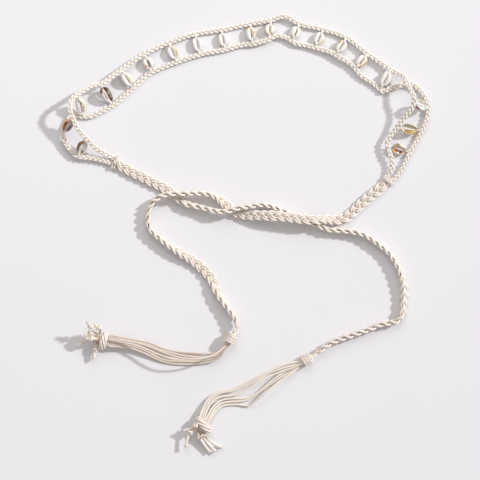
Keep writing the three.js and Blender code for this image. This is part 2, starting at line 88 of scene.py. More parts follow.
LOWER_ROUTE = [
    (-133.2, 73.7, 0.6), (-139.4, 75.6, 1.2), (-152.5, 78.5, 1.8), (-167, 80.5, 2.4), (-173, 85.5, 2.8),
    (-179.5, 94.5, 3.2), (-182, 103.5, 3.2), (-177.5, 112.5, 1.6), (-176.5, 117.7, 0.8),
    (-170.5, 121.3, 0), (-161.5, 120.5, 0), (-152.5, 121.3, 0), (-141, 127, 0), (-130, 133, 0),
    (-121, 141, 0), (-113, 148, 0), (-95, 163.5, 0.2), (-69, 174.5, 0.4), (-45, 182.5, 0.4),
    (-21, 187, 0.2), (0, 192.5, 0.4), (9.5, 193.2, 1.8), (23, 197, 2.6), (32, 201.3, 2),
    (42.5, 198.6, 1.6), (51.5, 193.2, 1.2), (62, 191.5, 0.8), (71, 188.8, 1.2), (85, 185, 2.4),
    (96.5, 178.7, 3), (106.5, 172, 2.2), (115.5, 162, 1.2), (125.5, 155, 0.6), (132.5, 149.7, 0.4),
    (138, 145.8, 0.8), (146, 149, 2.2), (154, 151.2, 3.2), (161.5, 154.3, 3.4), (169, 152, 2.9),
    (177, 144.3, 1.8), (182, 136, 1.4), (183, 130.2, 1.6), (182.3, 120.3, 1.8), (179, 111, 1.8),
    (173.1, 99.2, 1.4), (165, 85, 1.4), (160, 74.4, 1.2), (152, 61, 0.8), (145.4, 55.9, 0.6),
]
LEFT_END_ROUTE = [
    (-130, 75, 0, 0), (-114.7, 65.8, 0, 0), (-102.6, 60, 0, 0), (-91.6, 54.5, 0, 0), (-79.6, 48.3, 0, 0),
    (-71.8, 43, 0, -3), (-63, 36.5, 0.3, -42), (-54, 32, 0.8, -75), (-45, 30, 1.6, -85),
    (-36, 27.5, 3, -90), (-27.5, 25.5, OVER_FLAT - 1.6, -90), (-20, 25.5, OVER_FLAT, -90),
    (-13, 27, OVER_FLAT, -90), (-6, 29, OVER_FLAT, -90), (3.5, 30.5, OVER_FLAT - 2, -90),
    (16, 32, 2, -90), (26.5, 30.5, 0.5, -90), (36, 27, 0, -90), (48, 22, 0, -90),
    (59, 17.5, 0, -90), (68, 13.5, 0, -90), (76, 10, 0, -90), (83.5, 7.2, 0, -90),
    (94, 6.5, 0, -90), (108, 5, 0, -90), (121, 1, 0, -90), (130, -5, 0, -90),
    (144.5, -17, 0, -90), (154, -32.5, 0, -85), (157, -41, 0, -72), (159, -50, 0, -58),
    (159.3, -60.5, 0, -50), (158.6, -72, 0, -55), (157, -79, 0, -70), (152.8, -83.6, 0, -85),
    (146.5, -85.4, 0, -90), (135.5, -87.5, 0, -90), (124.5, -92, 0, -90), (108.5, -97.5, 0, -90),
    (92, -103, 0, -90), (82, -108, 0.6, -90), (73.5, -114.6, IN_WRAP + WRAP_RIGHT_LIFT, -90),
    (67.6, -119, IN_WRAP + WRAP_RIGHT_LIFT, -90), (63.2, -121.7, IN_WRAP + WRAP_RIGHT_LIFT, -90),
]
RIGHT_END_ROUTE = [
    (142, 56.5, 0, 0), (134.6, 48.2, 0, 0), (122.2, 38.8, 0, 0), (109.4, 26.4, 0, 0), (99, 18.6, 0, 0),
    (90.4, 16.9, 0.4, 0), (83, 17.6, 3.4, 12), (75, 17.4, 8, 24), (67, 17.2, OVER_EDGE - 0.2, 12),
    (59, 17.8, OVER_EDGE, 0), (50, 19, OVER_EDGE, 0), (40, 20.2, OVER_EDGE, 0),
    (27, 21.3, OVER_EDGE - 1.4, 0), (12.5, 21.6, 5.6, 0), (1, 22.3, 1.8, 0), (-7, 24, 0.2, 0),
    (-14, 28, 0, 0), (-20, 33, 0, 12), (-26, 38.4, 0.6, 45), (-32.5, 42, 1.4, 75),
    (-41, 43.5, 2.8, 90), (-50, 43.6, 4, 90), (-60, 43.5, 6.6, 90),
    (-70, 43.2, OVER_FLAT + 1.1, 90), (-79, 42, OVER_FLAT, 90), (-86, 39.5, 5.2, 90),
    (-91.5, 35.5, 3.2, 90), (-95.5, 29, 1.2, 90), (-97, 18, 0, 90), (-95, 8, 0, 90),
    (-87.4, 0.4, 0, 90), (-78.3, -7, 0, 98), (-68.2, -13.4, 0, 122), (-55.4, -21.4, 0, 152),
    (-43.8, -30.4, 0, 180), (-33.8, -41.5, 0, 165), (-28.2, -53.2, 0, 130), (-22.8, -63.8, 0.2, 97),
    (-16, -73, 1, 90), (-10, -81, 2.4, 90), (-8, -88.5, 0.7 * IN_WRAP + WRAP_LEFT_LIFT, 90),
    (-9.9, -95, IN_WRAP + WRAP_LEFT_LIFT, 90), (-13.3, -100.2, IN_WRAP + WRAP_LEFT_LIFT, 90),
]

# Rungs 01 to 19: where the cord leaves the upper and the lower braid, turn of the shell about it in
# degrees (0 has the slit up, 180 the sliced back), and the shell's length as a share of the usual one
RUNGS = [
    ((-159.5, 97.5), (-166.5, 81), 150, 0.89),
    ((-172, 118.5), (-182, 104), 180, 0.95),
    ((-166, 142), (-161.5, 121), 2, 1.12),
    ((-144.5, 152.5), (-132.5, 132), 150, 1.12),
    ((-123.7, 167), (-112.8, 148.8), -8, 0.96),
    ((-100, 183), (-93, 164.5), 12, 0.83),
    ((-76.5, 194), (-68, 175), 0, 0.91),
    ((-49.8, 203), (-45.5, 182.5), 0, 0.94),
    ((-23.5, 207), (-20, 187), 0, 0.88),
    ((5, 213), (7.5, 193), 0, 0.89),
    ((26, 216.5), (24, 197.5), 6, 0.69),
    ((53.5, 213.3), (47, 196), -20, 0.77),
    ((78, 207.5), (70, 189), 0, 0.85),
    ((101.5, 199), (91.5, 181.5), 10, 0.87),
    ((122.5, 183.5), (110.5, 167.5), 0, 0.84),
    ((145.5, 167.8), (135.5, 147.5), 0, 1.04),
    ((167.8, 134.5), (183, 128.8), 165, 1),
    ((151.4, 109.2), (176.4, 105.8), 180, 1.12),
    ((142.3, 91.6), (164.4, 84), 200, 0.94),
]

# Shell colours
WHITE, FACE, LIP = (0.98, 0.96, 0.94), (0.90, 0.85, 0.80), (0.95, 0.92, 0.88)
CHALK, CREAM, LILAC, STRAW = (0.84, 0.79, 0.73), (0.90, 0.80, 0.66), (0.80, 0.74, 0.75), (0.78, 0.74, 0.55)
GOLD, ORANGE, BROWN = (0.66, 0.42, 0.12), (0.72, 0.32, 0.08), (0.17, 0.05, 0.012)
GREY, OLIVE, LEMON = (0.34, 0.31, 0.28), (0.22, 0.17, 0.07), (0.80, 0.68, 0.22)
# Amber is an orange made brighter, so that shell 02's flank, which lies in shade, shows as sunlit: painted
# light. Shell 19 has a blot of it too
AMBER, RUST = (0.95, 0.50, 0.20), (0.40, 0.19, 0.08)
# Each shell: the wall of one half and its hollow, the same of the other half, the edge of the slit,
# then blots: place along it (-1 to 1), half (1 or -1), place round the section (0 the cut back, 4 the
# shoulder, 9 the slit, 13 the hollow), colour, length and breadth
SHELL_COLOURS = {
    "01": (BROWN, LILAC, CREAM, WHITE, WHITE, [
        (-0.2, 1, 0, BROWN, 0.9, 1.8), (0.8, -1, 13, OLIVE, 0.22, 1.5), (0.7, -1, 11, OLIVE, 0.2, 1.2),
        (0.1, -1, 11, WHITE, 0.6, 1.4), (0.1, 1, 12.6, WHITE, 0.5, 1.2), (-0.9, -1, 14, OLIVE, 0.2, 1.2)]),
    # 02: the amber half is painted brighter to stand for sunlight on its shaded flank
    "02": (AMBER, AMBER, GREY, GREY, CREAM, [
        (-0.1, 1, 12.4, BROWN, 0.8, 0.9), (0.3, -1, 13, BROWN, 0.4, 1.3), (0.95, 1, 1, BROWN, 0.25, 2.5),
        (0, 1, 10.6, CREAM, 0.9, 0.9), (0, -1, 10.6, WHITE, 0.9, 1.1), (0.7, 1, 0, ORANGE, 0.2, 1)]),
    "03": (STRAW, LILAC, STRAW, LILAC, OLIVE, [
        (0.1, 1, 5, STRAW, 0.7, 1.6), (-0.55, 1, 8, BROWN, 0.12, 1.2), (-0.85, -1, 7, OLIVE, 0.16, 1.4),
        (0.5, 1, 6.6, OLIVE, 0.08, 0.8), (0.1, 1, 5.6, OLIVE, 0.06, 0.8), (0, -1, 6, LILAC, 0.8, 1.4)]),
    "04": (LILAC, GREY, OLIVE, OLIVE, LIP, [
        (-0.78, 1, 2, BROWN, 0.24, 2.4), (-0.5, 1, 3, ORANGE, 0.16, 1), (-0.6, -1, 13, BROWN, 0.3, 1.2),
        (0.1, -1, 13.6, CHALK, 0.2, 0.9), (0.75, -1, 13, BROWN, 0.3, 2), (0.3, -1, 12, BROWN, 0.25, 1),
        (-0.25, -1, 14.2, CHALK, 0.14, 0.6), (0.5, -1, 14.2, CREAM, 0.12, 0.6)]),
    "05": (CREAM, GREY, LILAC, GREY, CREAM, [
        (0.62, 1, 7.8, ORANGE, 0.2, 1.3), (0.7, 1, 9, BROWN, 0.18, 1.1), (0.2, 1, 6, STRAW, 0.6, 1.8)]),
    "06": (LILAC, GREY, LILAC, GREY, CREAM, [
        (0.3, -1, 5, ORANGE, 0.2, 0.8), (0.55, -1, 6.6, ORANGE, 0.2, 0.7), (0.1, 1, 7, GREY, 0.5, 1.2),
        (0.3, -1, 6.6, BROWN, 0.08, 0.5), (0.5, 1, 5, GREY, 0.12, 0.9), (-0.2, 1, 8.6, BROWN, 0.4, 0.6)]),
    "07": (STRAW, GREY, LILAC, GREY, LIP, [
        (0.1, 1, 5.4, STRAW, 0.8, 1.7), (-0.85, 1, 6.5, ORANGE, 0.12, 1.4),
        (0.2, 1, 4.3, OLIVE, 0.6, 0.6)]),
    "08": (LILAC, GREY, LILAC, GREY, LIP, [(0, 1, 6.2, LILAC, 0.9, 1.7), (0, 1, 4.4, CHALK, 0.9, 0.5)]),
    "09": (LILAC, GREY, CREAM, GREY, LIP, [(0, 1, 7, LILAC, 0.9, 0.9), (0, 1, 4.2, CHALK, 0.9, 0.8)]),
    "10": (GOLD, GREY, WHITE, OLIVE, OLIVE, [
        (-0.45, 1, 6, CREAM, 0.4, 2.2), (-0.12, 1, 4.8, ORANGE, 0.16, 0.9), (0.1, 1, 6.1, GOLD, 0.14, 0.8),
        (0.35, 1, 7.4, GOLD, 0.18, 0.8), (-0.7, -1, 5.4, LEMON, 0.16, 1.4),
        (0.5, 1, 4.6, LILAC, 0.4, 1.2)]),
    "11": (CREAM, GREY, LILAC, OLIVE, LEMON, [
        (0.1, 1, 7.6, LEMON, 0.5, 0.7), (0.7, 1, 5, GOLD, 0.16, 0.8)]),
    "12": (CREAM, GREY, WHITE, OLIVE, GOLD, [(0.2, -1, 8.4, GOLD, 0.5, 0.8), (0.8, 1, 8, BROWN, 0.12, 1)]),
    "13": (STRAW, GREY, WHITE, GREY, WHITE, [(0.3, 1, 4.4, LEMON, 0.3, 0.8), (0, 1, 6.4, LILAC, 0.7, 1)]),
    "14": (LILAC, GREY, STRAW, GREY, LIP, [
        (-0.7, -1, 5.4, ORANGE, 0.2, 0.9), (-0.4, -1, 4.6, OLIVE, 0.2, 0.7),
        (-0.15, 1, 5.6, LEMON, 0.12, 0.9), (-0.55, 1, 7.6, BROWN, 0.2, 0.7)]),
    "15": (CREAM, GREY, WHITE, GREY, LIP, [
        (0.15, 1, 4, OLIVE, 0.3, 0.8), (0.6, 1, 4.4, GOLD, 0.3, 1), (-0.35, 1, 4.1, GOLD, 0.2, 0.8),
        (0, 1, 6.3, CREAM, 0.9, 1.4)]),
    "16": (LILAC, GREY, LILAC, GREY, WHITE, [(0.1, 1, 6.2, LILAC, 0.8, 1.1), (0.85, 1, 6, GREY, 0.1, 0.9)]),
    "17": (WHITE, BROWN, WHITE, WHITE, WHITE, [
        (-0.3, -1, 0, GOLD, 0.35, 0.9), (-0.5, 1, 2, BROWN, 0.3, 2.4), (-0.15, 1, 2.4, RUST, 0.25, 1.8),
        (0.6, -1, 15.4, BROWN, 0.1, 0.8), (0.2, 1, 12.6, WHITE, 0.7, 1.6)]),
    "18": (GOLD, GOLD, STRAW, STRAW, LEMON, [
        (0.1, -1, 0.4, RUST, 0.07, 1.2), (0.35, -1, 0.6, ORANGE, 0.07, 0.9),
        (-0.45, -1, 0, OLIVE, 0.4, 1.2), (0.6, 1, 1, ORANGE, 0.3, 2), (0, -1, 11, WHITE, 0.9, 1.2),
        (-0.2, 1, 12.8, OLIVE, 0.45, 1), (0.2, -1, 14.4, OLIVE, 0.6, 0.8),
        (-0.1, -1, 15.4, RUST, 0.1, 0.8), (0.3, 1, 11.4, LEMON, 0.5, 0.6)]),
    "19": (CREAM, RUST, GOLD, CREAM, WHITE, [
        (-0.55, 1, 13.6, AMBER, 0.24, 0.9), (-0.7, 1, 0.6, ORANGE, 0.25, 2),
        (-0.1, -1, 13, OLIVE, 0.25, 0.7), (0.35, 1, 13.4, BROWN, 0.2, 1.6),
        (-0.3, 1, 12.6, BROWN, 0.14, 0.8), (0.05, 1, 14, LIP, 0.1, 0.9), (0.65, 1, 13.6, CHALK, 0.1, 1.2),
        (-0.05, 1, 12.2, GREY, 0.1, 0.8), (0.3, -1, 1.4, WHITE, 0.4, 1.1), (-0.5, -1, 1, OLIVE, 0.2, 1.6)]),
}

# Whippings: middle and direction on the ground, height of the underside, and seeds of the unevenness of
# the whipping and of the loose cords
WRAPS = {
    "right": {"middle": (61.9, -122.5), "heading": (-0.855, -0.52), "lift": WRAP_RIGHT_LIFT,
              "seed": 32, "cord_seed": 50},
    "left": {"middle": (-14, -101.25), "heading": (-0.547, -0.837), "lift": WRAP_LEFT_LIFT,
             "seed": 31, "cord_seed": 60},
}

# Loose cords: how many lie side by side, and the points of their middle from the whipping to the knot
FRINGES = {
    "right": [
        (3, [(55.4, -126.1, 5.9), (47, -128.4, 5.9), (35, -132.4, 5.6), (24, -137, 5.2),
             (12, -142.6, 4.8), (0, -149, 4), (-12, -154.8, 3.4), (-24, -157, 3.2),
             (-33, -161.8, 3.8), (-39, -170, 5.6), (-42.3, -179.9, 8)]),
        (2, [(55, -127, 5.2), (45, -133, 4.2), (35, -138.8, 3.4), (25, -146.4, 2.8),
             (14, -155.6, 2.4), (5, -161.2, 2.2), (-4, -162.8, 2.2), (-14, -162.8, 2.2),
             (-24, -164.6, 2.4), (-30.8, -170, 4), (-38.3, -183.1, 7.4)]),
        (1, [(54.6, -128, 5.4), (44, -136.6, 6), (33, -143.8, 7), (27, -148.8, 7.6),
             (18, -157.6, 7), (11, -163.4, 5), (3.6, -168.4, 2.2), (-5, -168, 1.4),
             (-12, -168, 1.4), (-22, -169.6, 2), (-29.4, -174.6, 3.6), (-35.4, -182.4, 6.6)]),
    ],
    "left": [
        (2, [(-18, -107.2, 9.4), (-21.6, -112, 8.4), (-28, -116.2, 6), (-38, -118.2, 3.8),
             (-55, -117.6, 2.8), (-70, -115.7, 2.8), (-82, -112.8, 3.2), (-95, -107, 4.6),
             (-110, -103.2, 6.4), (-124, -100.6, 8), (-135.4, -99.4, 9)]),
        (3, [(-18.2, -108, 8.6), (-23.6, -114.6, 6.8), (-30, -120.6, 4.2), (-41, -123.6, 2.4),
             (-55, -125, 1.6), (-71, -124, 1.6), (-83, -121, 2), (-96, -115.6, 3.2),
             (-110, -110, 5), (-124, -107.2, 7), (-135.2, -106.4, 8.4)]),
        (1, [(-18, -107, 10.4), (-22.6, -111.8, 12), (-31, -117.4, 15.4), (-42, -120.8, 18.8),
             (-55, -121.5, 20.6), (-68, -120, 20.6), (-82, -115.4, 19.2), (-96, -109.4, 16.8),
             (-110, -105.4, 14.4), (-124, -103.4, 12.8), (-135, -102.8, 12)]),
    ],
}

# End knots: middle and direction on the ground, half width and how far the cords pass it, a seed, and for
# each of the six cut ends its points, how far back from its tip its own small knot lies, and its spread
END_KNOTS = {
    "right": {
        "middle": (-41.4, -187.6), "heading": (-0.5, -0.866), "half": 9.6, "reach": 0.9, "seed": 200,
        "ends": [
            [(-46, -189.4, 11), (-48.4, -188.4, 13), (-50.4, -187.4, 13.2)],
            [(-48.6, -189.8, 11.4), (-53.4, -190.8, 11), (-60, -193, 9.4)],
            [(-50, -191.6, 10), (-55, -194.6, 9.4), (-59, -208.4, 7.4)],
            [(-47.2, -194, 9), (-45, -201, 6.6), (-36.2, -213.6, 4)],
            [(-43.4, -197, 7.6), (-38, -205, 5.6), (-30.2, -213.2, 4.4)],
            [(-39, -199.6, 6.4), (-31.4, -206, 4.6), (-24, -209.8, 3.2)],
        ],
        "knots": [1.6, None, 14, 18, 19.5, None],
        "spread": [1] * 6,
    },
    "left": {
        "middle": (-141, -103.6), "heading": (-0.995, -0.1), "half": 8.2, "reach": 0.7, "seed": 220,
        "ends": [
            [(-147.4, -96, 14), (-151.4, -91.4, 19), (-156.2, -85.6, 25)],
            [(-144.4, -95, 13), (-143.6, -91.2, 16.4), (-148.8, -88.8, 18.6)],
            [(-148.4, -98, 12.6), (-153.4, -95.6, 15.4), (-159, -98.4, 15.6)],
            [(-152, -103.6, 9.5), (-159.4, -105, 8.6), (-165, -105.2, 8)],
            [(-147.6, -106.6, 8), (-149.4, -112, 7), (-151.4, -120.4, 5)],
            [(-147.4, -101.4, 13), (-152.4, -101.4, 15), (-158.4, -101, 15)],
        ],
        "knots": [4.6, 3.4, 5.6, 1.6, 8.4, 5],
        "spread": [1.15, 1.2, 1.3, 1, 1.5, 1.25],
    },
}

# How the cords are laid
THIN_PERIOD = 14.5  # length of one full turn of the plait
THICK_PERIOD = 24.5
BRAID_SIZES = {
    False: (THIN_BRAID_WIDTH, THIN_BRAID_DEPTH, THIN_PERIOD),
    True: (THICK_BRAID_WIDTH, THICK_BRAID_DEPTH, THICK_PERIOD),
}
BUNDLED_LENGTH = 0.62 * WRAP_LENGTH  # end of a thick braid that runs as a plain bundle
JOIN_LENGTH = 9  # start of a thick braid in which its cords come over from the thin ones
CORD_SIDES = 10
YARN_SIDES = 5
RING_STEP = 1.15
SAMPLE_STEP = 0.4
CREVICE_REACH = 0.75  # gap between two cords in which the shade of a crevice fades out
NEXT_TURN = 4  # run along one cord past which it counts as another turn
WRAP_TURNS = 4.6
SHELL_STATIONS = 74
SHELL_ROWS = 16  # points round the section of one half of a shell
SHELL_TEETH = 11.5  # along the slit
UP = np.array([0.0, 0.0, 1.0])


def unit(vectors):
    vectors = np.asarray(vectors, float)
    return vectors / np.maximum(np.linalg.norm(vectors, axis=-1, keepdims=True), 1e-9)


def knotted_curve(points, cuts):
    """A centripetal Catmull-Rom curve through the points, with a number of cuts for each span."""
    points = np.asarray(points, float)
    count = len(points)
    if np.isscalar(cuts):
        cuts = [cuts] * (count - 1)
    places, shares = [], []
    for s in range(count - 1):
        p1, p2 = points[s], points[s + 1]
        p0 = points[s - 1] if s else 2 * p1 - p2
        p3 = points[s + 2] if s + 2 < count else 2 * p2 - p1
        d0, d1, d2 = (max(np.linalg.norm(b - a), 1e-6) ** 0.5 for a, b in ((p0, p1), (p1, p2), (p2, p3)))
        m1 = ((p1 - p0) / d0 - (p2 - p0) / (d0 + d1) + (p2 - p1) / d1) * d1
        m2 = ((p2 - p1) / d1 - (p3 - p1) / (d1 + d2) + (p3 - p2) / d2) * d1
        last = s == count - 2
        t = np.linspace(0, 1, cuts[s] + 1)[: None if last else -1][:, None]
        places.append(
            p1
            + m1 * t
            + (-3 * p1 + 3 * p2 - 2 * m1 - m2) * t**2
            + (2 * p1 - 2 * p2 + m1 + m2) * t**3
        )
        shares.append(s + t[:, 0])
    return np.vstack(places), np.concatenate(shares)


def evenly(places, step, *values):
    """The polyline at even steps, and any values that go with its points."""
    run = np.concatenate([[0], np.cumsum(np.linalg.norm(np.diff(places, axis=0), axis=1))])
    at = np.linspace(0, run[-1], max(3, int(round(run[-1] / step)) + 1))
    out = [np.stack([np.interp(at, run, places[:, k]) for k in range(places.shape[1])], 1)]
    for value in values:
        out.append(np.interp(at, run, value))
    return (at, *out)


def tangents(places):
    return unit(np.gradient(places, axis=0))


def outline_rise(width, depth, roll):
    """How far an eight-sided section reaches up and down from its middle when it is rolled."""
    a = width / 2 * CORNER_REACH * np.cos(CORNER_TURNS)
    b = depth / 2 * CORNER_REACH * np.sin(CORNER_TURNS)
    roll = np.atleast_1d(roll)[:, None]
    return np.abs(a * np.sin(roll) + b * np.cos(roll)).max(1)


def smoothed(values, size):
    """Values averaged under a bell of an odd size, with the first and last held beyond the ends."""
    kernel = np.hanning(size + 2)[1:-1]
    return np.convolve(np.pad(values, size // 2, mode="edge"), kernel / kernel.sum(), mode="valid")


def level_frame(forward):
    """The level direction to the left of a way, and the direction over both."""
    left = unit(np.cross(UP, forward))
    return left, np.cross(forward, left)


def ground_frame(heading):
    """A direction on the ground and the one to its left."""
    axis = unit(np.array([*heading, 0.0]))
    return axis, level_frame(axis)[0]


def cord_frame(way, lean):
    """A cord's direction at its end, and two directions across it."""
    way = unit(way)
    beside = unit(np.cross(way, UP + np.array(lean)))
    return way, beside, np.cross(way, beside)


def set_out(middle, local, *axes):
    """Points given by their three measures from a middle along three directions."""
    return middle + sum(np.asarray(measure, float)[:, None] * axis for measure, axis in zip(local, axes))


def rail(route, thick):
    """The middle line of a braid, the directions across and over it, and how far it is spread out."""
    rows = np.array([(*row, 0)[:4] for row in route], float)
    roll = np.radians(rows[:, 3])
    half = outline_rise(*BRAID_SIZES[thick][:2], roll)
    if thick:
        half[-3:] = BUNDLE_RADIUS
    middle = np.column_stack([rows[:, 0], rows[:, 1], rows[:, 2] + half])
    places, shares = knotted_curve(middle, 40)
    rolls = np.interp(shares, np.arange(len(roll)), roll)
    run, places, rolls = evenly(places, SAMPLE_STEP, rolls)
    rolls = smoothed(rolls, 19)
    left, top = level_frame(tangents(places))
    across = left * np.cos(rolls)[:, None] + top * np.sin(rolls)[:, None]
    over = top * np.cos(rolls)[:, None] - left * np.sin(rolls)[:, None]
    full = np.ones(len(run))
    if thick:
        full = np.clip((run[-1] - run - BUNDLED_LENGTH) / (TAPER_LENGTH - BUNDLED_LENGTH), 0, 1)
        full = full * full * (3 - 2 * full)
    return {"run": run, "at": places, "across": across, "over": over, "full": full}


def wander(count, scale, size, seed):
    """Smooth random offsets of about the given size, for a line of so many points."""
    source = np.random.default_rng(seed)
    knots = max(4, int(count / scale) + 3)
    rough = source.normal(0, size, (knots, 3))
    at = np.linspace(0, knots - 1, count)
    soft = np.stack([np.interp(at, np.arange(knots), rough[:, k]) for k in range(3)], 1)
    return np.stack([smoothed(soft[:, k], max(3, int(scale) | 1)) for k in range(3)], 1)


def plait(line, thick, direction, phase, seed):
    """Centre lines of the cords of a three-strand braid, two side by side in each strand if thick."""
    cords = []
    width, depth, period = BRAID_SIZES[thick]
    swing = width / 2 - CORD_RADIUS * (2 if thick else 1)
    rise = depth / 2 - CORD_RADIUS * (0.98 if thick else 1)
    full = line["full"][:, None]
    source = np.random.default_rng(seed)
    beat = 2 * math.pi * line["run"] / period
    beat = beat + 0.16 * np.sin(beat / 5.3 + source.uniform(0, 6)) + phase
    for k in range(3):
        angle = beat + 2 * math.pi * k / 3
        sideways = (swing * np.sin(angle))[:, None] * full
        upwards = (direction * rise * np.sin(2 * angle))[:, None]
        upwards = upwards * (0.35 + 0.65 * full)
        strand = line["at"] + line["across"] * sideways + line["over"] * upwards
        strand = strand + wander(len(strand), 14, 0.12, seed * 7 + k)
        if not thick:
            cords.append(strand)
            continue
        beside = unit(np.cross(line["over"], tangents(strand)))
        bundle = 2 * math.pi * k / 3 + 0.3
        packed = line["across"] * math.cos(bundle) + line["over"] * math.sin(bundle)
        for sign in (-1, 1):
            offset = beside * sign * CORD_RADIUS * 0.98
            tight = packed * BUNDLE_RADIUS * 0.4 + beside * sign * CORD_RADIUS * 0.7
            cords.append(strand + offset * full + tight * (1 - full))
    return cords


def tube(centres, radius, sides=CORD_SIDES, step=RING_STEP):
    """A round cord along a line: its vertices, faces, texture coordinates, end faces and run."""
    run, centres = evenly(np.asarray(centres, float), step)
    radius = np.atleast_1d(radius)
    radii = np.interp(np.linspace(0, 1, len(run)), np.linspace(0, 1, len(radius)), radius)
    centres[:, 2] = np.maximum(centres[:, 2], radii * 0.98)
    forward = tangents(centres)
    side = unit(np.cross(forward[0], UP if abs(forward[0][2]) < 0.9 else np.array([1.0, 0, 0])))
    frames = []
    for direction in forward:
        side = unit(side - direction * np.dot(side, direction))
        frames.append(side)
    frames = np.array(frames)
    third = np.cross(forward, frames)
    for end, lean in ((0, -1), (-1, 1)):
        tip = centres[end] + forward[end] * lean * radii[end] * 0.35
        extra = (tip, frames[end], third[end], radii[end] * 0.72, run[end] + lean * 0.3)
        grown = []
        for whole, one in zip((centres, frames, third, radii, run), extra):
            grown.append(np.concatenate([whole, np.asarray(one)[None]][::lean]))
        centres, frames, third, radii, run = grown
    turn = np.arange(sides) / sides * 2 * math.pi
    ring = np.cos(turn)[:, None] * frames[:, None] + np.sin(turn)[:, None] * third[:, None]
    verts = (centres[:, None] + radii[:, None, None] * ring).reshape(-1, 3)
    count = len(run)
    r, i = np.meshgrid(np.arange(count - 1), np.arange(sides), indexing="ij")
    a, b = r * sides + i, r * sides + (i + 1) % sides
    quads = np.stack([a, b, b + sides, a + sides], -1).reshape(-1, 4)
    u = np.stack([run[r], run[r], run[r + 1], run[r + 1]], -1).reshape(-1, 4)
    v = np.stack([i, i + 1, i + 1, i], -1).reshape(-1, 4) / sides
    caps = [list(range(sides))[::-1], [(count - 1) * sides + k for k in range(sides)]]
    return verts, quads, u, v, caps, run


def crevices(tubes):
    """How close each vertex lies to another cord, or another turn of its own: 1 where they touch. It sets
    where shade is painted into the crevices.
    """
    rings = [points.reshape(len(run), -1, 3) for points, _, _, _, _, run in tubes]
    yarn = np.concatenate([np.full(len(ring), ring.shape[1] < CORD_SIDES) for ring in rings])
    middles = np.vstack([ring.mean(1) for ring in rings])
    radii = np.concatenate([np.linalg.norm(ring[:, 0] - ring.mean(1), axis=1) for ring in rings])
    owner = np.concatenate([np.full(len(ring), k) for k, ring in enumerate(rings)])
    place = np.concatenate([run for *_, run in tubes])
    search = 2.6 * CORD_RADIUS + CREVICE_REACH
    tree = KDTree(len(middles))
    for k, middle in enumerate(middles):
        tree.insert(middle, k)
    tree.balance()
    shares = []
    for k, points in enumerate(points for ring in rings for points in ring):
        near = np.array([found for _, found, _ in tree.find_range(middles[k], search)])
        near = near[((owner[near] != owner[k]) | (np.abs(place[near] - place[k]) > NEXT_TURN)) & ~yarn[near]]
        if len(near) == 0 or yarn[k]:
            shares.append(np.zeros(len(points)))
            continue
        away = np.linalg.norm(points[:, None] - middles[near][None], axis=2) - radii[near]
        shares.append(np.clip(1 - away.min(1) / CREVICE_REACH, 0, 1))
    return np.concatenate(shares)


def mesh_of_tubes(name, tubes, material, shade=None):
    """One mesh object of several tubes, with the texture coordinates of the cord and the mask of its painted
    crevice shade.
    """
    verts, faces, uv, base = [], [], [], 0
    for order, (points, quads, u, v, caps, run) in enumerate(tubes):
        verts.append(points)
        faces.extend((quads + base).tolist())
        shift = order * 0.37
        uv.append(np.stack([u + shift * 10, v + shift], -1).reshape(-1, 2))
        for cap, place in zip(caps, (run[0], run[-1])):
            faces.append([base + k for k in cap])
            uv.append(np.array([[place + shift * 10, k / len(cap)] for k in range(len(cap))]))
        base += len(points)
    piece = finished_mesh(name, np.vstack(verts), faces, material, np.vstack(uv))
    crevice = piece.data.attributes.new("crevice", "FLOAT", "POINT")
    crevice.data.foreach_set("value", (crevices(tubes) if shade is None else shade).astype(np.float32))
    return piece


def add_object(name, data, location=(0, 0, 0)):
    thing = bpy.data.objects.new(name, data)
    thing.location = location
    bpy.context.scene.collection.objects.link(thing)
    return thing


def finished_mesh(name, verts, faces, material, uv=None, tone=None):
    """A smooth mesh object that rides on the part, from points in millimetres."""
    mesh = bpy.data.meshes.new(name)
    mesh.from_pydata(((verts + PART_SHIFT) * MM).tolist(), [], faces)
    if uv is not None:
        layer = mesh.uv_layers.new(name="cord")
        layer.data.foreach_set("uv", uv.astype(np.float32).ravel())
    if tone is not None:
        colours = mesh.color_attributes.new("tone", "FLOAT_COLOR", "POINT")
        rgba = np.column_stack([tone, np.ones(len(tone))]).astype(np.float32)
        colours.data.foreach_set("color", rgba.ravel())
    mesh.polygons.foreach_set("use_smooth", [True] * len(mesh.polygons))
    mesh.materials.append(material)
    mesh.update()
    thing = add_object(name, mesh)
    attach(thing, "root")
    return thing


def in_row(point):
    """A point of the routes in metres from the part's own origin."""
    return [float(x) for x in (np.asarray(point, float) + PART_SHIFT) * MM]


def dress(node):
    """The piece takes the place of one of the part's nodes."""
    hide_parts(node)


# Materials

# Tones of the cotton: dull, light and warm patches of its own colour, then a darker tone for painted shade
# in the grooves between the yarns
COTTON_TONES = [(0.86, 0.785, 0.705), (0.95, 0.905, 0.85), (0.91, 0.81, 0.72), (0.72, 0.595, 0.49)]
# Colour of the painted shade between touching cords, tinted tan as of dust in the crevices
CREVICE_DUST_AND_SHADE = (0.42, 0.30, 0.18)
YARNS = 6  # round the sheath of a cord, each way
YARN_LAY = 1.7  # length along the cord in which a yarn moves on by one


def node_tree(name):
    """A new material with its nodes and its shader."""
    material = bpy.data.materials.new(name)
    material.use_nodes = True
    tree = material.node_tree
    return material, tree, tree.nodes["Principled BSDF"]


def set_inputs(node, values):
    for name, value in values.items():
        node.inputs[name].default_value = value


def math_node(tree, operation, first, second=None, third=None):
    node = tree.nodes.new("ShaderNodeMath")
    node.operation = operation
    for socket, value in zip(node.inputs, (first, second, third)):
        if value is None:
            continue
        if isinstance(value, (int, float)):
            socket.default_value = value
        else:
            tree.links.new(value, socket)
    return node.outputs[0]


def noise(tree, vector, scale, detail, rough):
    node = tree.nodes.new("ShaderNodeTexNoise")
    set_inputs(node, {"Scale": scale, "Detail": detail, "Roughness": rough})
    tree.links.new(vector, node.inputs["Vector"])
    return node.outputs["Fac"]


def attribute(tree, name, output):
    node = tree.nodes.new("ShaderNodeAttribute")
    node.attribute_name = name
    return node.outputs[output]


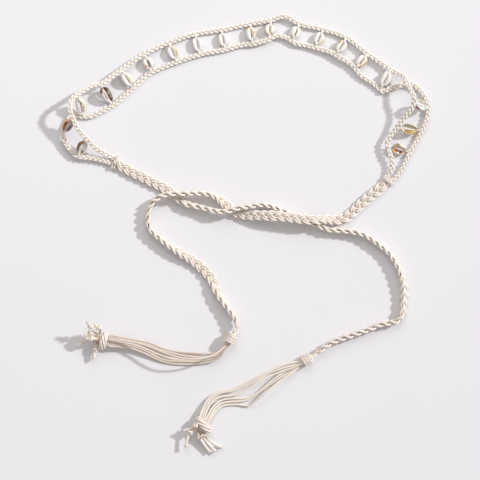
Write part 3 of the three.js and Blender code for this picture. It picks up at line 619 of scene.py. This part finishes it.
def add_bump(tree, shader, height, strength):
    """Relief of about a tenth of a millimetre."""
    node = tree.nodes.new("ShaderNodeBump")
    set_inputs(node, {"Strength": strength, "Distance": 0.00012})
    tree.links.new(height, node.inputs["Height"])
    tree.links.new(node.outputs["Normal"], shader.inputs["Normal"])


def mix_colour(tree, share, first, second):
    node = tree.nodes.new("ShaderNodeMix")
    node.data_type = "RGBA"
    for socket, value in ((node.inputs[0], share), (node.inputs[6], first), (node.inputs[7], second)):
        if isinstance(value, (int, float)):
            socket.default_value = value
        elif isinstance(value, tuple):
            socket.default_value = (*value, 1)
        else:
            tree.links.new(value, socket)
    return node.outputs[2]


def cotton(name, shade):
    """Natural cotton cord: a fine sheath of crossing yarns, soft fibres and a slow change of colour, with
    shade painted into the grooves of the sheath and where cords touch.
    """
    material, tree, shader = node_tree(name)
    uv = tree.nodes.new("ShaderNodeUVMap")
    uv.uv_map = "cord"
    split = tree.nodes.new("ShaderNodeSeparateXYZ")
    tree.links.new(uv.outputs["UV"], split.inputs[0])
    along, around = split.outputs[0], split.outputs[1]
    turns = math_node(tree, "MULTIPLY", around, 2 * math.pi * YARNS)
    climb = math_node(tree, "MULTIPLY", along, 2 * math.pi / YARN_LAY)
    one = math_node(tree, "SINE", math_node(tree, "ADD", turns, climb))
    other = math_node(tree, "SINE", math_node(tree, "SUBTRACT", turns, climb))
    sheath = math_node(tree, "MAXIMUM", one, other)
    where = tree.nodes.new("ShaderNodeTexCoord").outputs["Object"]
    fibre = noise(tree, where, 2600, 4, 0.7)
    patch = noise(tree, where, 95, 2, 0.5)
    drift = noise(tree, where, 18, 2, 0.5)
    dull, light, warm, groove_shade = [tuple(s * c for s, c in zip(shade, tone)) for tone in COTTON_TONES]
    cord = mix_colour(tree, patch, dull, light)
    cord = mix_colour(tree, math_node(tree, "MULTIPLY", drift, 0.5), cord, warm)
    # the grooves of the sheath get painted shade
    groove = math_node(tree, "MULTIPLY_ADD", sheath, 0.35, 0.65)
    groove = math_node(tree, "MINIMUM", math_node(tree, "MAXIMUM", groove, 0.0), 1.0)
    cord = mix_colour(tree, groove, groove_shade, cord)
    # painted shade, tinted as dust, where cords touch
    depth = math_node(tree, "MULTIPLY", attribute(tree, "crevice", "Fac"), 0.52)
    tree.links.new(mix_colour(tree, depth, cord, CREVICE_DUST_AND_SHADE), shader.inputs["Base Color"])
    add_bump(tree, shader, math_node(tree, "MULTIPLY_ADD", fibre, 0.7, sheath), 0.5)
    set_inputs(shader, {
        "Roughness": 0.78, "Sheen Weight": 0.3, "Sheen Roughness": 0.5, "Specular IOR Level": 0.3,
    })
    return material


def porcelain():
    """Cowrie: glossy enamel with the shell's own colours under a faint cloud."""
    material, tree, shader = node_tree("cowrie_shell")
    tone = attribute(tree, "tone", "Color")
    where = tree.nodes.new("ShaderNodeTexCoord").outputs["Object"]
    cloud = noise(tree, where, 340, 3, 0.55)
    fine = noise(tree, where, 1500, 3, 0.6)
    enamel = mix_colour(tree, math_node(tree, "MULTIPLY", cloud, 0.08), tone, (0.62, 0.52, 0.42))
    enamel = mix_colour(tree, math_node(tree, "MULTIPLY", fine, 0.04), enamel, (0.97, 0.95, 0.92))
    tree.links.new(enamel, shader.inputs["Base Color"])
    tree.links.new(math_node(tree, "MULTIPLY_ADD", cloud, 0.22, 0.14), shader.inputs["Roughness"])
    add_bump(tree, shader, cloud, 0.18)
    set_inputs(shader, {"Specular IOR Level": 0.35, "Coat Weight": 0.25, "Coat Roughness": 0.12})
    return material


def paper():
    """The plain floor, with a hardly visible change of tone."""
    material, tree, shader = node_tree("backdrop")
    where = tree.nodes.new("ShaderNodeTexCoord").outputs["Object"]
    tint = mix_colour(tree, noise(tree, where, 3, 2, 0.5), (0.775, 0.765, 0.787), (0.795, 0.785, 0.803))
    tree.links.new(tint, shader.inputs["Base Color"])
    set_inputs(shader, {"Roughness": 0.9, "Specular IOR Level": 0.1})
    return material


COTTON = cotton("cotton_cord", (1.0, 1.0, 1.0))
PALE_COTTON = cotton("cotton_cord_pale", (1.03, 1.055, 1.075))
# Loose cords: copies of the cotton, a little darker on the right and much darker on the left
LOOSE_COTTON = {
    "right": cotton("cotton_cord_loose", (0.99, 0.98, 0.96)),
    "left": cotton("cotton_cord_loose_darker", (0.84, 0.80, 0.765)),
}
PORCELAIN = porcelain()

# Braids: route, whether it is thick, which way it is plaited, where the plait begins, seed and cotton
BRAIDS = {
    "braid_upper": (UPPER_ROUTE, False, 1, 0.4, 11, PALE_COTTON),
    "braid_lower": (LOWER_ROUTE, False, 1, 1.9, 12, PALE_COTTON),
    "belt_end_left": (LEFT_END_ROUTE, True, 1, 0.2, 13, COTTON),
    "belt_end_right": (RIGHT_END_ROUTE, True, -1, 2.2, 14, COTTON),
}


def matched(thick, thin):
    """Which thin cord's end runs on as each thick cord, nearest first."""
    pairs = [(np.linalg.norm(a[0] - b), i, j) for i, a in enumerate(thick) for j, b in enumerate(thin)]
    taken = {}
    for _, i, j in sorted(pairs):
        if i not in taken and j not in taken.values():
            taken[i] = j
    return taken


def joined(thick, thin, end, inner):
    """Each thick cord runs on from the end of a thin braid's cord, in one smooth bend."""
    taken = matched(thick, [cord[end] for cord in thin])
    reach = int(JOIN_LENGTH / SAMPLE_STEP)
    out = []
    for i, cord in enumerate(thick):
        before = thin[taken[i]]
        start, lead = before[end], before[end] - before[inner]
        stop, ahead = cord[reach], tangents(cord)[reach]
        size = np.linalg.norm(stop - start)
        t = np.linspace(0, 1, 26)[:-1, None]
        bend = (
            (2 * t**3 - 3 * t**2 + 1) * start
            + (t**3 - 2 * t**2 + t) * unit(lead) * size
            + (3 * t**2 - 2 * t**3) * stop
            + (t**3 - t**2) * ahead * size
        )
        out.append(np.vstack([bend, cord[reach:]]))
    return out


lines = {name: rail(route, thick) for name, (route, thick, *_) in BRAIDS.items()}
cords = {name: plait(lines[name], *laid) for name, (_, *laid, _) in BRAIDS.items()}
thin_cords = cords["braid_upper"] + cords["braid_lower"]
cords["belt_end_left"] = joined(cords["belt_end_left"], thin_cords, 0, 3)
cords["belt_end_right"] = joined(cords["belt_end_right"], thin_cords, -1, -4)
for name, (_, thick, *_, material) in BRAIDS.items():
    piece = mesh_of_tubes(name + "_cords", [tube(cord, CORD_RADIUS) for cord in cords[name]], material)
    dress(name)

# Rungs and shells


def sections_of(route):
    """The middles of the part's own sections of a thin braid."""
    rows = np.array(route, float)
    middle = np.column_stack([rows[:, 0], rows[:, 1], rows[:, 2] + THIN_BRAID_DEPTH / 2])
    cuts = [max(1, math.ceil(np.linalg.norm(b - a) / THIN_STEP)) for a, b in zip(middle, middle[1:])]
    return knotted_curve(middle, cuts)[0]


def nearest_on(places, target):
    """The point of a braid that is nearest to a place seen from above, and the braid's way there."""
    start, way = places[:-1], np.diff(places, axis=0)
    run = way[:, :2]
    share = np.clip(np.sum((target - start[:, :2]) * run, axis=1) / np.sum(run * run, axis=1), 0, 1)
    at = start + way * share[:, None]
    nearest = int(np.argmin(np.linalg.norm(at[:, :2] - target, axis=1)))
    return at[nearest], unit(way[nearest])



def clear_of_braid(direction, heading):
    """How far along the rung its cord first clears the braid it is tied to."""
    left, top = level_frame(direction)
    beside, above = level_frame(heading)
    half_width = THIN_BRAID_WIDTH / 2 + RUNG_CLEARANCE
    half_depth = THIN_BRAID_DEPTH / 2 + RUNG_CLEARANCE
    rim = np.cos(CORNER_TURNS)[:, None] * beside + np.sin(CORNER_TURNS)[:, None] * above
    rim = rim * CORD_RADIUS * CORNER_REACH
    run = 0.0
    while True:
        points = heading * run + rim
        u, v = np.abs(points @ left) / half_width, np.abs(points @ top) / half_depth
        if np.maximum(np.maximum(u, v), (u + v) / math.sqrt(2)).min() >= 1:
            return run
        run += 0.05


def cowrie_half(length, side):
    """Closed sections of one lip of the shell: cut back, wall, face, lip rolled into the slit, hollow."""
    along = np.sin(np.linspace(-1, 1, SHELL_STATIONS) * 1.36) / math.sin(1.36) * 0.985
    sections = []
    for t in along:
        body = max(0.02, 1 - abs(t) ** 2.5) ** 0.5
        w = max(0.9, SHELL_WIDTH / 2 * body * (1.0 - 0.09 * t))
        h = SHELL_FACE_HEIGHT * (0.42 + 0.58 * max(0.0, 1 - abs(t) ** 3) ** 0.6)
        back = -SHELL_BACK_DEPTH * (0.9 + 0.1 * body)
        bow = 0.21 * math.cos(t * 2.2) - 0.18
        open_share = float(np.clip((0.93 - abs(t)) / 0.12, 0, 1))
        gap = 0.6 * open_share - 0.25 * (1 - open_share) + 0.25 * max(0.0, t)
        dip = 0.32 * h * (1 - float(np.clip((0.96 - abs(t)) / 0.2, 0, 1)))
        ridge = 0.75 * (0.5 - 0.5 * math.cos(t * math.pi * SHELL_TEETH)) * open_share
        rows = [
            (0.92 * w, back), (0.99 * w, -0.2 * h), (0.985 * w, 0.24 * h), (0.93 * w, 0.62 * h),
            (0.80 * w, 0.90 * h), (0.62 * w, 0.99 * h), (0.42 * w, 0.97 * h + 0.2 * ridge - 0.3 * dip),
            (gap + 0.7, 0.89 * h + 0.35 * ridge - 0.7 * dip),
            (gap + 0.2 - 0.16 * ridge, 0.78 * h + 0.3 * ridge - dip), (gap - 0.24 * ridge, 0.66 * h - dip),
            (gap + 0.05 - 0.2 * ridge, 0.5 * h - dip * 0.8), (gap + 0.6, 0.42 * h - 0.5 * dip),
            (max(0.42 * w, gap + 0.7), 0.50 * h), (max(0.64 * w, gap + 0.75), 0.34 * h),
            (max(0.76 * w, gap + 0.8), -0.08 * h), (max(0.74 * w, gap + 0.75), back),
        ]
        rows = np.array(rows)
        after = np.roll(rows, -1, 0)
        between = (9 * (rows + after) - np.roll(rows, 1, 0) - np.roll(rows, -2, 0)) / 16
        ring = np.stack([rows, between], 1).reshape(-1, 2)
        sections.append([(t * length / 2, side * y + bow, z) for y, z in ring])
    return np.array(sections), along


def ripple(t, k, source):
    """A soft uneven field from 0 to 1 over the shell."""
    field = 0
    for _ in range(5):
        waves = source.uniform(2, 9) * t + source.uniform(0.3, 1.3) * k + source.uniform(0, 6.3)
        field = field + np.sin(waves)
    return np.clip(0.5 + field / 5, 0, 1)


def painted(along, side, colours, source):
    """The colour of each vertex of one half."""
    *halves, slit, blots = colours
    wall, hollow = np.array(halves[:2] if side > 0 else halves[2:])
    edge = 0.85 * wall + 0.15 * np.array(CHALK)
    keys = [0, 0.8, 2.8, 4.2, 6.4, 7.4, 8.4, 9.4, 10.2, 11.4, 12.2, 13.8, 15, SHELL_ROWS]
    tones = [edge, wall, wall, FACE, FACE, LIP, LIP, slit, LIP, LIP, hollow, hollow, edge, edge]
    k = np.arange(0, SHELL_ROWS, 0.5)
    tone = np.stack([np.interp(k, keys, [c[i] for c in tones]) for i in range(3)], 1)
    tone = np.repeat(tone[None], len(along), 0)
    t, k = np.meshgrid(along, k, indexing="ij")
    worn = (ripple(t, k, source) * 0.2 * wall.mean() * np.clip((4.4 - k) / 3, 0, 1))[..., None]
    tone = tone * (1 - worn) + np.array(FACE) * worn
    for place, half, row, colour, size, breadth in blots:
        if half != side:
            continue
        beside = np.abs(k - row)
        beside = np.minimum(beside, SHELL_ROWS - beside)
        ragged = 0.75 + 0.6 * ripple(t * 4, k * 2, source)
        share = 1.7 * np.exp(-(((t - place) / size) ** 2 + (beside / breadth) ** 2)) * ragged
        share = np.clip(share, 0, 1)[..., None]
        tone = tone * (1 - share) + np.array(colour) * share
    return tone


def cowrie_parts(length, colours, seed):
    """Vertices, faces and colours of one sliced cowrie in its own frame, z towards the slit."""
    source = np.random.default_rng(seed)
    verts, faces, tones = [], [], []
    base = 0
    for side in (1, -1):
        sections, along = cowrie_half(length, side)
        count, ring = sections.shape[:2]
        verts.append(sections.reshape(-1, 3))
        tones.append(painted(along, side, colours, source).reshape(-1, 3))
        half = []
        for r in range(count - 1):
            for k in range(ring):
                a, b = base + r * ring + k, base + r * ring + (k + 1) % ring
                half.append([a, b, b + ring, a + ring])
        half.append([base + k for k in range(ring)][::-1])
        base += count * ring
        half.append([base - ring + k for k in range(ring)])
        faces += [face[::side] for face in half]
    return np.vstack(verts), faces, np.vstack(tones)


upper_sections = sections_of(UPPER_ROUTE)
lower_sections = sections_of(LOWER_ROUTE)

for (number, colours), (on_upper, on_lower, turn, share) in zip(SHELL_COLOURS.items(), RUNGS):
    start_at, start_way = nearest_on(upper_sections, on_upper)
    stop_at, stop_way = nearest_on(lower_sections, on_lower)
    heading = unit(stop_at - start_at)
    span = float(np.linalg.norm(stop_at - start_at))
    begin = clear_of_braid(start_way, heading)
    finish = span - clear_of_braid(stop_way, -heading)
    middle = start_at + heading * (begin + finish) / 2
    level, above = level_frame(heading)
    angle = math.radians(turn)
    across = level * math.cos(angle) + above * math.sin(angle)
    over = above * math.cos(angle) - level * math.sin(angle)
    length = SHELL_LENGTH * share
    points, faces, tone = cowrie_parts(length, colours, int(number))
    placed = set_out(middle, points.T, heading, across, over)
    shell = finished_mesh("shell_" + number, placed, faces, PORCELAIN, None, tone)
    dress("cowrie_" + number)

    half = length / 2
    back_run, front_run = (begin + finish) / 2, span - (begin + finish) / 2
    local = np.array([
        (-back_run, 0, 0), (-half - 0.9, 0.2, 1.5), (-half * 0.9, 0.1, 2.6), (-half * 0.66, 0, 1.6),
        (-half * 0.35, -0.1, 0.4), (0, 0, 0.1), (half * 0.35, 0.1, 0.4), (half * 0.66, 0, 1.6),
        (half * 0.9, -0.1, 2.6), (half + 0.9, -0.2, 1.5), (front_run, 0, 0),
    ])
    line, _ = knotted_curve(set_out(middle, local.T, heading, across, over), 12)
    girth = CORD_RADIUS * np.array([0.9, 0.95, 0.9, 0.68, 0.6, 0.6, 0.6, 0.68, 0.9, 0.95, 0.9])
    rung = mesh_of_tubes("rung_cord_" + number, [tube(line, girth, step=0.9)], PALE_COTTON)
    dress("rung_" + number)

# Whippings, loose cords and end knots

BUNDLE = [(0.0, 0.0)]  # places of the six cords inside a whipping
for k in range(5):
    angle = k * 2 * math.pi / 5
    BUNDLE.append((1.05 * CORD_DIAMETER * math.cos(angle), 1.05 * CORD_DIAMETER * math.sin(angle)))


def wrap_frame(side):
    """The middle of a whipping, its direction and the one to its left."""
    wrap = WRAPS[side]
    middle = np.array([*wrap["middle"], wrap["lift"] + WRAP_OUTER])
    return middle, *ground_frame(wrap["heading"])


def whipping(side):
    """A few turns of cord round the end of a thick braid, with both ends tucked in."""
    middle, axis, beside = wrap_frame(side)
    t = np.linspace(0, 1, 150)
    angle = 2 * math.pi * WRAP_TURNS * t + 0.8
    along = (t - 0.5) * (WRAP_LENGTH - CORD_DIAMETER)
    tucked = np.clip((np.abs(t - 0.5) - 0.465) / 0.035, 0, 1)
    radius = BUNDLE_RADIUS + CORD_RADIUS + 0.25 - 1.9 * tucked
    line = set_out(middle, (along, radius * np.cos(angle), radius * np.sin(angle)), axis, beside, UP)
    line = line + wander(len(line), 12, 0.1, WRAPS[side]["seed"])
    piece = mesh_of_tubes("whipping_" + side, [tube(line, CORD_RADIUS, step=0.9)], COTTON)
    dress("wrap_" + side)


def loose_cords(side):
    """The six loose cords from the whipping to the end knot."""
    middle, axis, beside = wrap_frame(side)
    knot = END_KNOTS[side]
    knot_axis, knot_beside = ground_frame(knot["heading"])
    knot_middle = np.array([*knot["middle"], END_KNOT_HALF_HEIGHT])
    lines = []
    for count, points in FRINGES[side]:
        lock = np.array(points)
        sideways = unit(np.cross(UP, tangents(lock)))
        for k in range(count):
            offset = (k - (count - 1) / 2) * CORD_DIAMETER * 1.06
            a, b = BUNDLE[len(lines)]
            inside = [middle + axis * s + beside * a + UP * b for s in (-2.0, 2.0)]
            own = (lock + sideways * offset)[1:]
            goal = knot_middle - knot_axis * 2.0 + knot_beside * offset * 0.5
            line, _ = knotted_curve(np.vstack([inside, own, goal]), 14)
            line = evenly(line, 1.0)[1]
            ease = np.sin(np.linspace(0, math.pi, len(line)))[:, None] ** 0.7
            stir = wander(len(line), 26, 0.75, WRAPS[side]["cord_seed"] + len(lines))
            line = line + stir * ease * np.array([1, 1, 0.45])
            line[:, 2] = np.maximum(line[:, 2], CORD_RADIUS)
            lines.append(line)
    tubes = [tube(line, CORD_RADIUS * 0.97) for line in lines]
    # the painted crevice shade, shared out over the separate cords
    shades = np.split(crevices(tubes), np.cumsum([len(points) for points, *_ in tubes])[:-1])
    for k, line in enumerate(lines):
        piece = mesh_of_tubes(f"loose_cord_{side}_{k + 1}", [tubes[k]], LOOSE_COTTON[side], shades[k])
        dress("fringe_" + side)


def frayed_tip(at, way, seed, count=15):
    """A short brush of yarns at the cut end of a cord."""
    source = np.random.default_rng(seed)
    way, beside, above = cord_frame(way, (0.13, 0.21, 0))
    out = []
    for k in range(count):
        turn = 2.4 * k
        spread = source.uniform(0.2, 1.1)
        lateral = beside * math.cos(turn) + above * math.sin(turn)
        long = source.uniform(1.2, 3.4)
        root = at + lateral * CORD_RADIUS * 1.1 * math.sqrt(k / count) - way * 0.6
        bends = ((0, 0), (0.5, 0.2), (0.85, 0.7), (1.02, 1.5))
        line = np.array([root + way * long * a + lateral * spread * b for a, b in bends])
        line, _ = knotted_curve(line, 4)
        line[:, 2] = np.maximum(line[:, 2], 0.3)
        out.append(tube(line, [0.42, 0.38, 0.28, 0.12], YARN_SIDES, 0.5))
    return out


def small_knot(at, way, radius):
    """The bead of a small overhand knot pulled tight in one cord."""
    t = np.linspace(0, 1, 44)
    angle = 2 * math.pi * 1.7 * t
    along = (t - 0.5) * 2.4 + 0.55 * np.cos(angle * 0.5)
    local = (along, radius * np.cos(angle), radius * np.sin(angle))
    return tube(set_out(at, local, *cord_frame(way, (0.2, 0.1, 0))), CORD_RADIUS * 1.05, step=0.6)


def end_knot(side):
    """An overhand knot of all six cords, and their cut ends."""
    knot = END_KNOTS[side]
    axis, beside = ground_frame(knot["heading"])
    middle = np.array([*knot["middle"], END_KNOT_HALF_HEIGHT])
    bundle = 2.5
    wide = knot["half"] + knot["reach"] - 0.82 * bundle - CORD_RADIUS
    tall = END_KNOT_HALF_HEIGHT - 3.1
    way_points = [(-3.6, 0, 0.2), (-1.8, 0.6, -0.3), (1.2, 1.8, -1.2)]
    for share in np.linspace(0, 1, 10):
        angle = math.radians(-62 + share * 318)
        along = 1.9 - 3.5 * share + 0.9 * math.cos(angle)
        way_points.append((along, wide * math.cos(angle), tall * math.sin(angle)))
    way_points += [(-1.6, -1.2, -1.4), (1.4, -0.5, -0.2), (4.2, 0, 0.5)]
    core, shares = knotted_curve(set_out(middle, np.array(way_points).T, axis, beside, UP), 8)
    forward = tangents(core)
    out = core - middle
    out = out - axis * (out @ axis)[:, None]
    settled = np.clip((shares - 2) / 1.5, 0, 1) * np.clip((len(way_points) - 2.6 - shares) / 1.5, 0, 1)
    settled = settled[:, None]
    out = unit(out) * settled + UP * (1 - settled)
    out = unit(out - forward * np.sum(out * forward, axis=1)[:, None])
    width = np.cross(forward, out)
    tubes = []
    for k, (end, back, spread) in enumerate(zip(knot["ends"], knot["knots"], knot["spread"])):
        angle = k * math.pi / 3 + shares / shares[-1] * 6.8 + 0.4
        offset = width * (np.cos(angle) * bundle * 1.1)[:, None]
        offset = offset + out * (np.sin(angle) * bundle * 0.8)[:, None]
        line, _ = knotted_curve(np.vstack([(core + offset)[::4], end]), 6)
        line[:, 2] = np.maximum(line[:, 2], CORD_RADIUS)
        girth = CORD_RADIUS * np.array([1.06] * 11 + [1.08] + [x * spread for x in (1.14, 1.24, 1.36)])
        tubes.append(tube(line, girth, step=0.9))
        way = unit(line[-1] - line[-4])
        tubes += frayed_tip(line[-1], way, knot["seed"] + k)
        if back is not None:
            at = line[-1] - way * back
            near = line[int(np.argmin(np.linalg.norm(line - at, axis=1)))]
            tubes.append(small_knot(near, way, 1.95))
    # Painted shade: the cords are darkened where they come out of the knot, as well as where they touch
    roots = np.array([end[0] for end in knot["ends"]])
    points = np.vstack([points for points, *_ in tubes])
    away = np.linalg.norm(points[:, None] - roots[None], axis=2).min(1)
    knot_root_shade = np.clip(crevices(tubes) + 1.6 * np.exp(-((away / 2.6) ** 2)), 0, 1.7)
    piece = mesh_of_tubes("end_knot_cords_" + side, tubes, COTTON, knot_root_shade)
    dress("end_knot_" + side)


def join_tie(side, middle, belt, half, ends):
    """A turn of cord round both thin braids where they join, with its cut ends."""
    belt, beside = ground_frame(belt)
    t = np.linspace(0, 1, 60)
    angle = 2 * math.pi * 1.3 * t + 0.9
    along = (t - 0.5) * 2.2 + 0.6 * np.sin(angle)
    ring = set_out(middle, (along, half[0] * np.cos(angle), half[1] * np.sin(angle)), belt, beside, UP)
    tubes = [tube(ring, CORD_RADIUS * 0.8, step=0.8)]
    for k, end in enumerate(ends):
        line, _ = knotted_curve(np.array(end), 8)
        tubes.append(tube(line, CORD_RADIUS * np.array([0.8, 0.8, 0.85]), step=0.8))
        tubes += frayed_tip(line[-1], line[-1] - line[-4], 300 + k, 9)
    piece = mesh_of_tubes("join_tie_" + side, tubes, COTTON)


join_tie("left", (-129.8, 76, 3.4), (0.85, -0.52), (4.4, 3.5), [
    [(-129.6, 77.4, 6.4), (-129, 78.6, 7), (-128.2, 79.4, 7)],
    [(-131.2, 73.6, 5.6), (-132.6, 71.6, 5), (-133, 69.6, 3.8)],
    [(-129.8, 73.2, 5.8), (-130.4, 71.2, 5), (-130.6, 69.2, 3.4)],
])
join_tie("right", (143.2, 57.2, 3.2), (-0.68, -0.73), (4.9, 3.5), [
    [(144.6, 54.4, 4.6), (145.8, 53, 4.6), (147.2, 53.2, 3.6)],
])
for side in ("left", "right"):
    whipping(side)
    loose_cords(side)
    end_knot(side)

# Floor, light and camera

FLOOR_HALF = 6.0  # metres
floor_mesh = bpy.data.meshes.new("floor")
corners = [(x * FLOOR_HALF, y * FLOOR_HALF, 0) for x, y in ((-1, -1), (1, -1), (1, 1), (-1, 1))]
floor_mesh.from_pydata(corners, [], [(0, 1, 2, 3)])
floor_mesh.materials.append(paper())
floor = add_object("floor", floor_mesh, (0, 0, -0.0002))


def add_light(name, kind, energy, colour, location, towards):
    data = bpy.data.lights.new(name, kind)
    data.energy = energy
    data.color = colour
    light = add_object(name, data, location)
    light.rotation_euler = Vector(towards).to_track_quat("-Z", "Y").to_euler()
    return data


SHADOW_LENGTH = 1.38  # for each millimetre of height; the shadows fall to the lower left
SUN_WAY = (-0.885 * SHADOW_LENGTH, -0.465 * SHADOW_LENGTH, -1.0)
sun = add_light("sun", "SUN", 2.4, (0.97, 1.0, 1.02), (0, 0, 0), SUN_WAY)
sun.angle = math.radians(3.5)
window = add_light("window", "AREA", 7, (1.0, 0.985, 0.97), (-0.05, 1.0, 1.2), (0.05, -1.0, -1.2))
window.shape = "DISK"
window.size = 1.2

world = bpy.data.worlds.new("studio")
world.use_nodes = True
set_inputs(world.node_tree.nodes["Background"], {"Color": (1.0, 0.955, 0.945, 1), "Strength": 0.475})
bpy.context.scene.world = world
bpy.context.scene.view_settings.view_transform = "Standard"

PHOTO_WIDTH = 480.0  # millimetres on the ground across the picture, one to each pixel
CAMERA_HEIGHT = 4200.0
SENSOR_WIDTH = 36.0
VIEW_CENTRE = (-5.0, -3.0)
camera_data = bpy.data.cameras.new("camera")
camera_data.sensor_width = SENSOR_WIDTH
camera_data.lens = SENSOR_WIDTH * CAMERA_HEIGHT / PHOTO_WIDTH
camera_data.clip_end = 20
camera = add_object("camera", camera_data, in_row((*VIEW_CENTRE, CAMERA_HEIGHT)))
bpy.context.scene.camera = camera
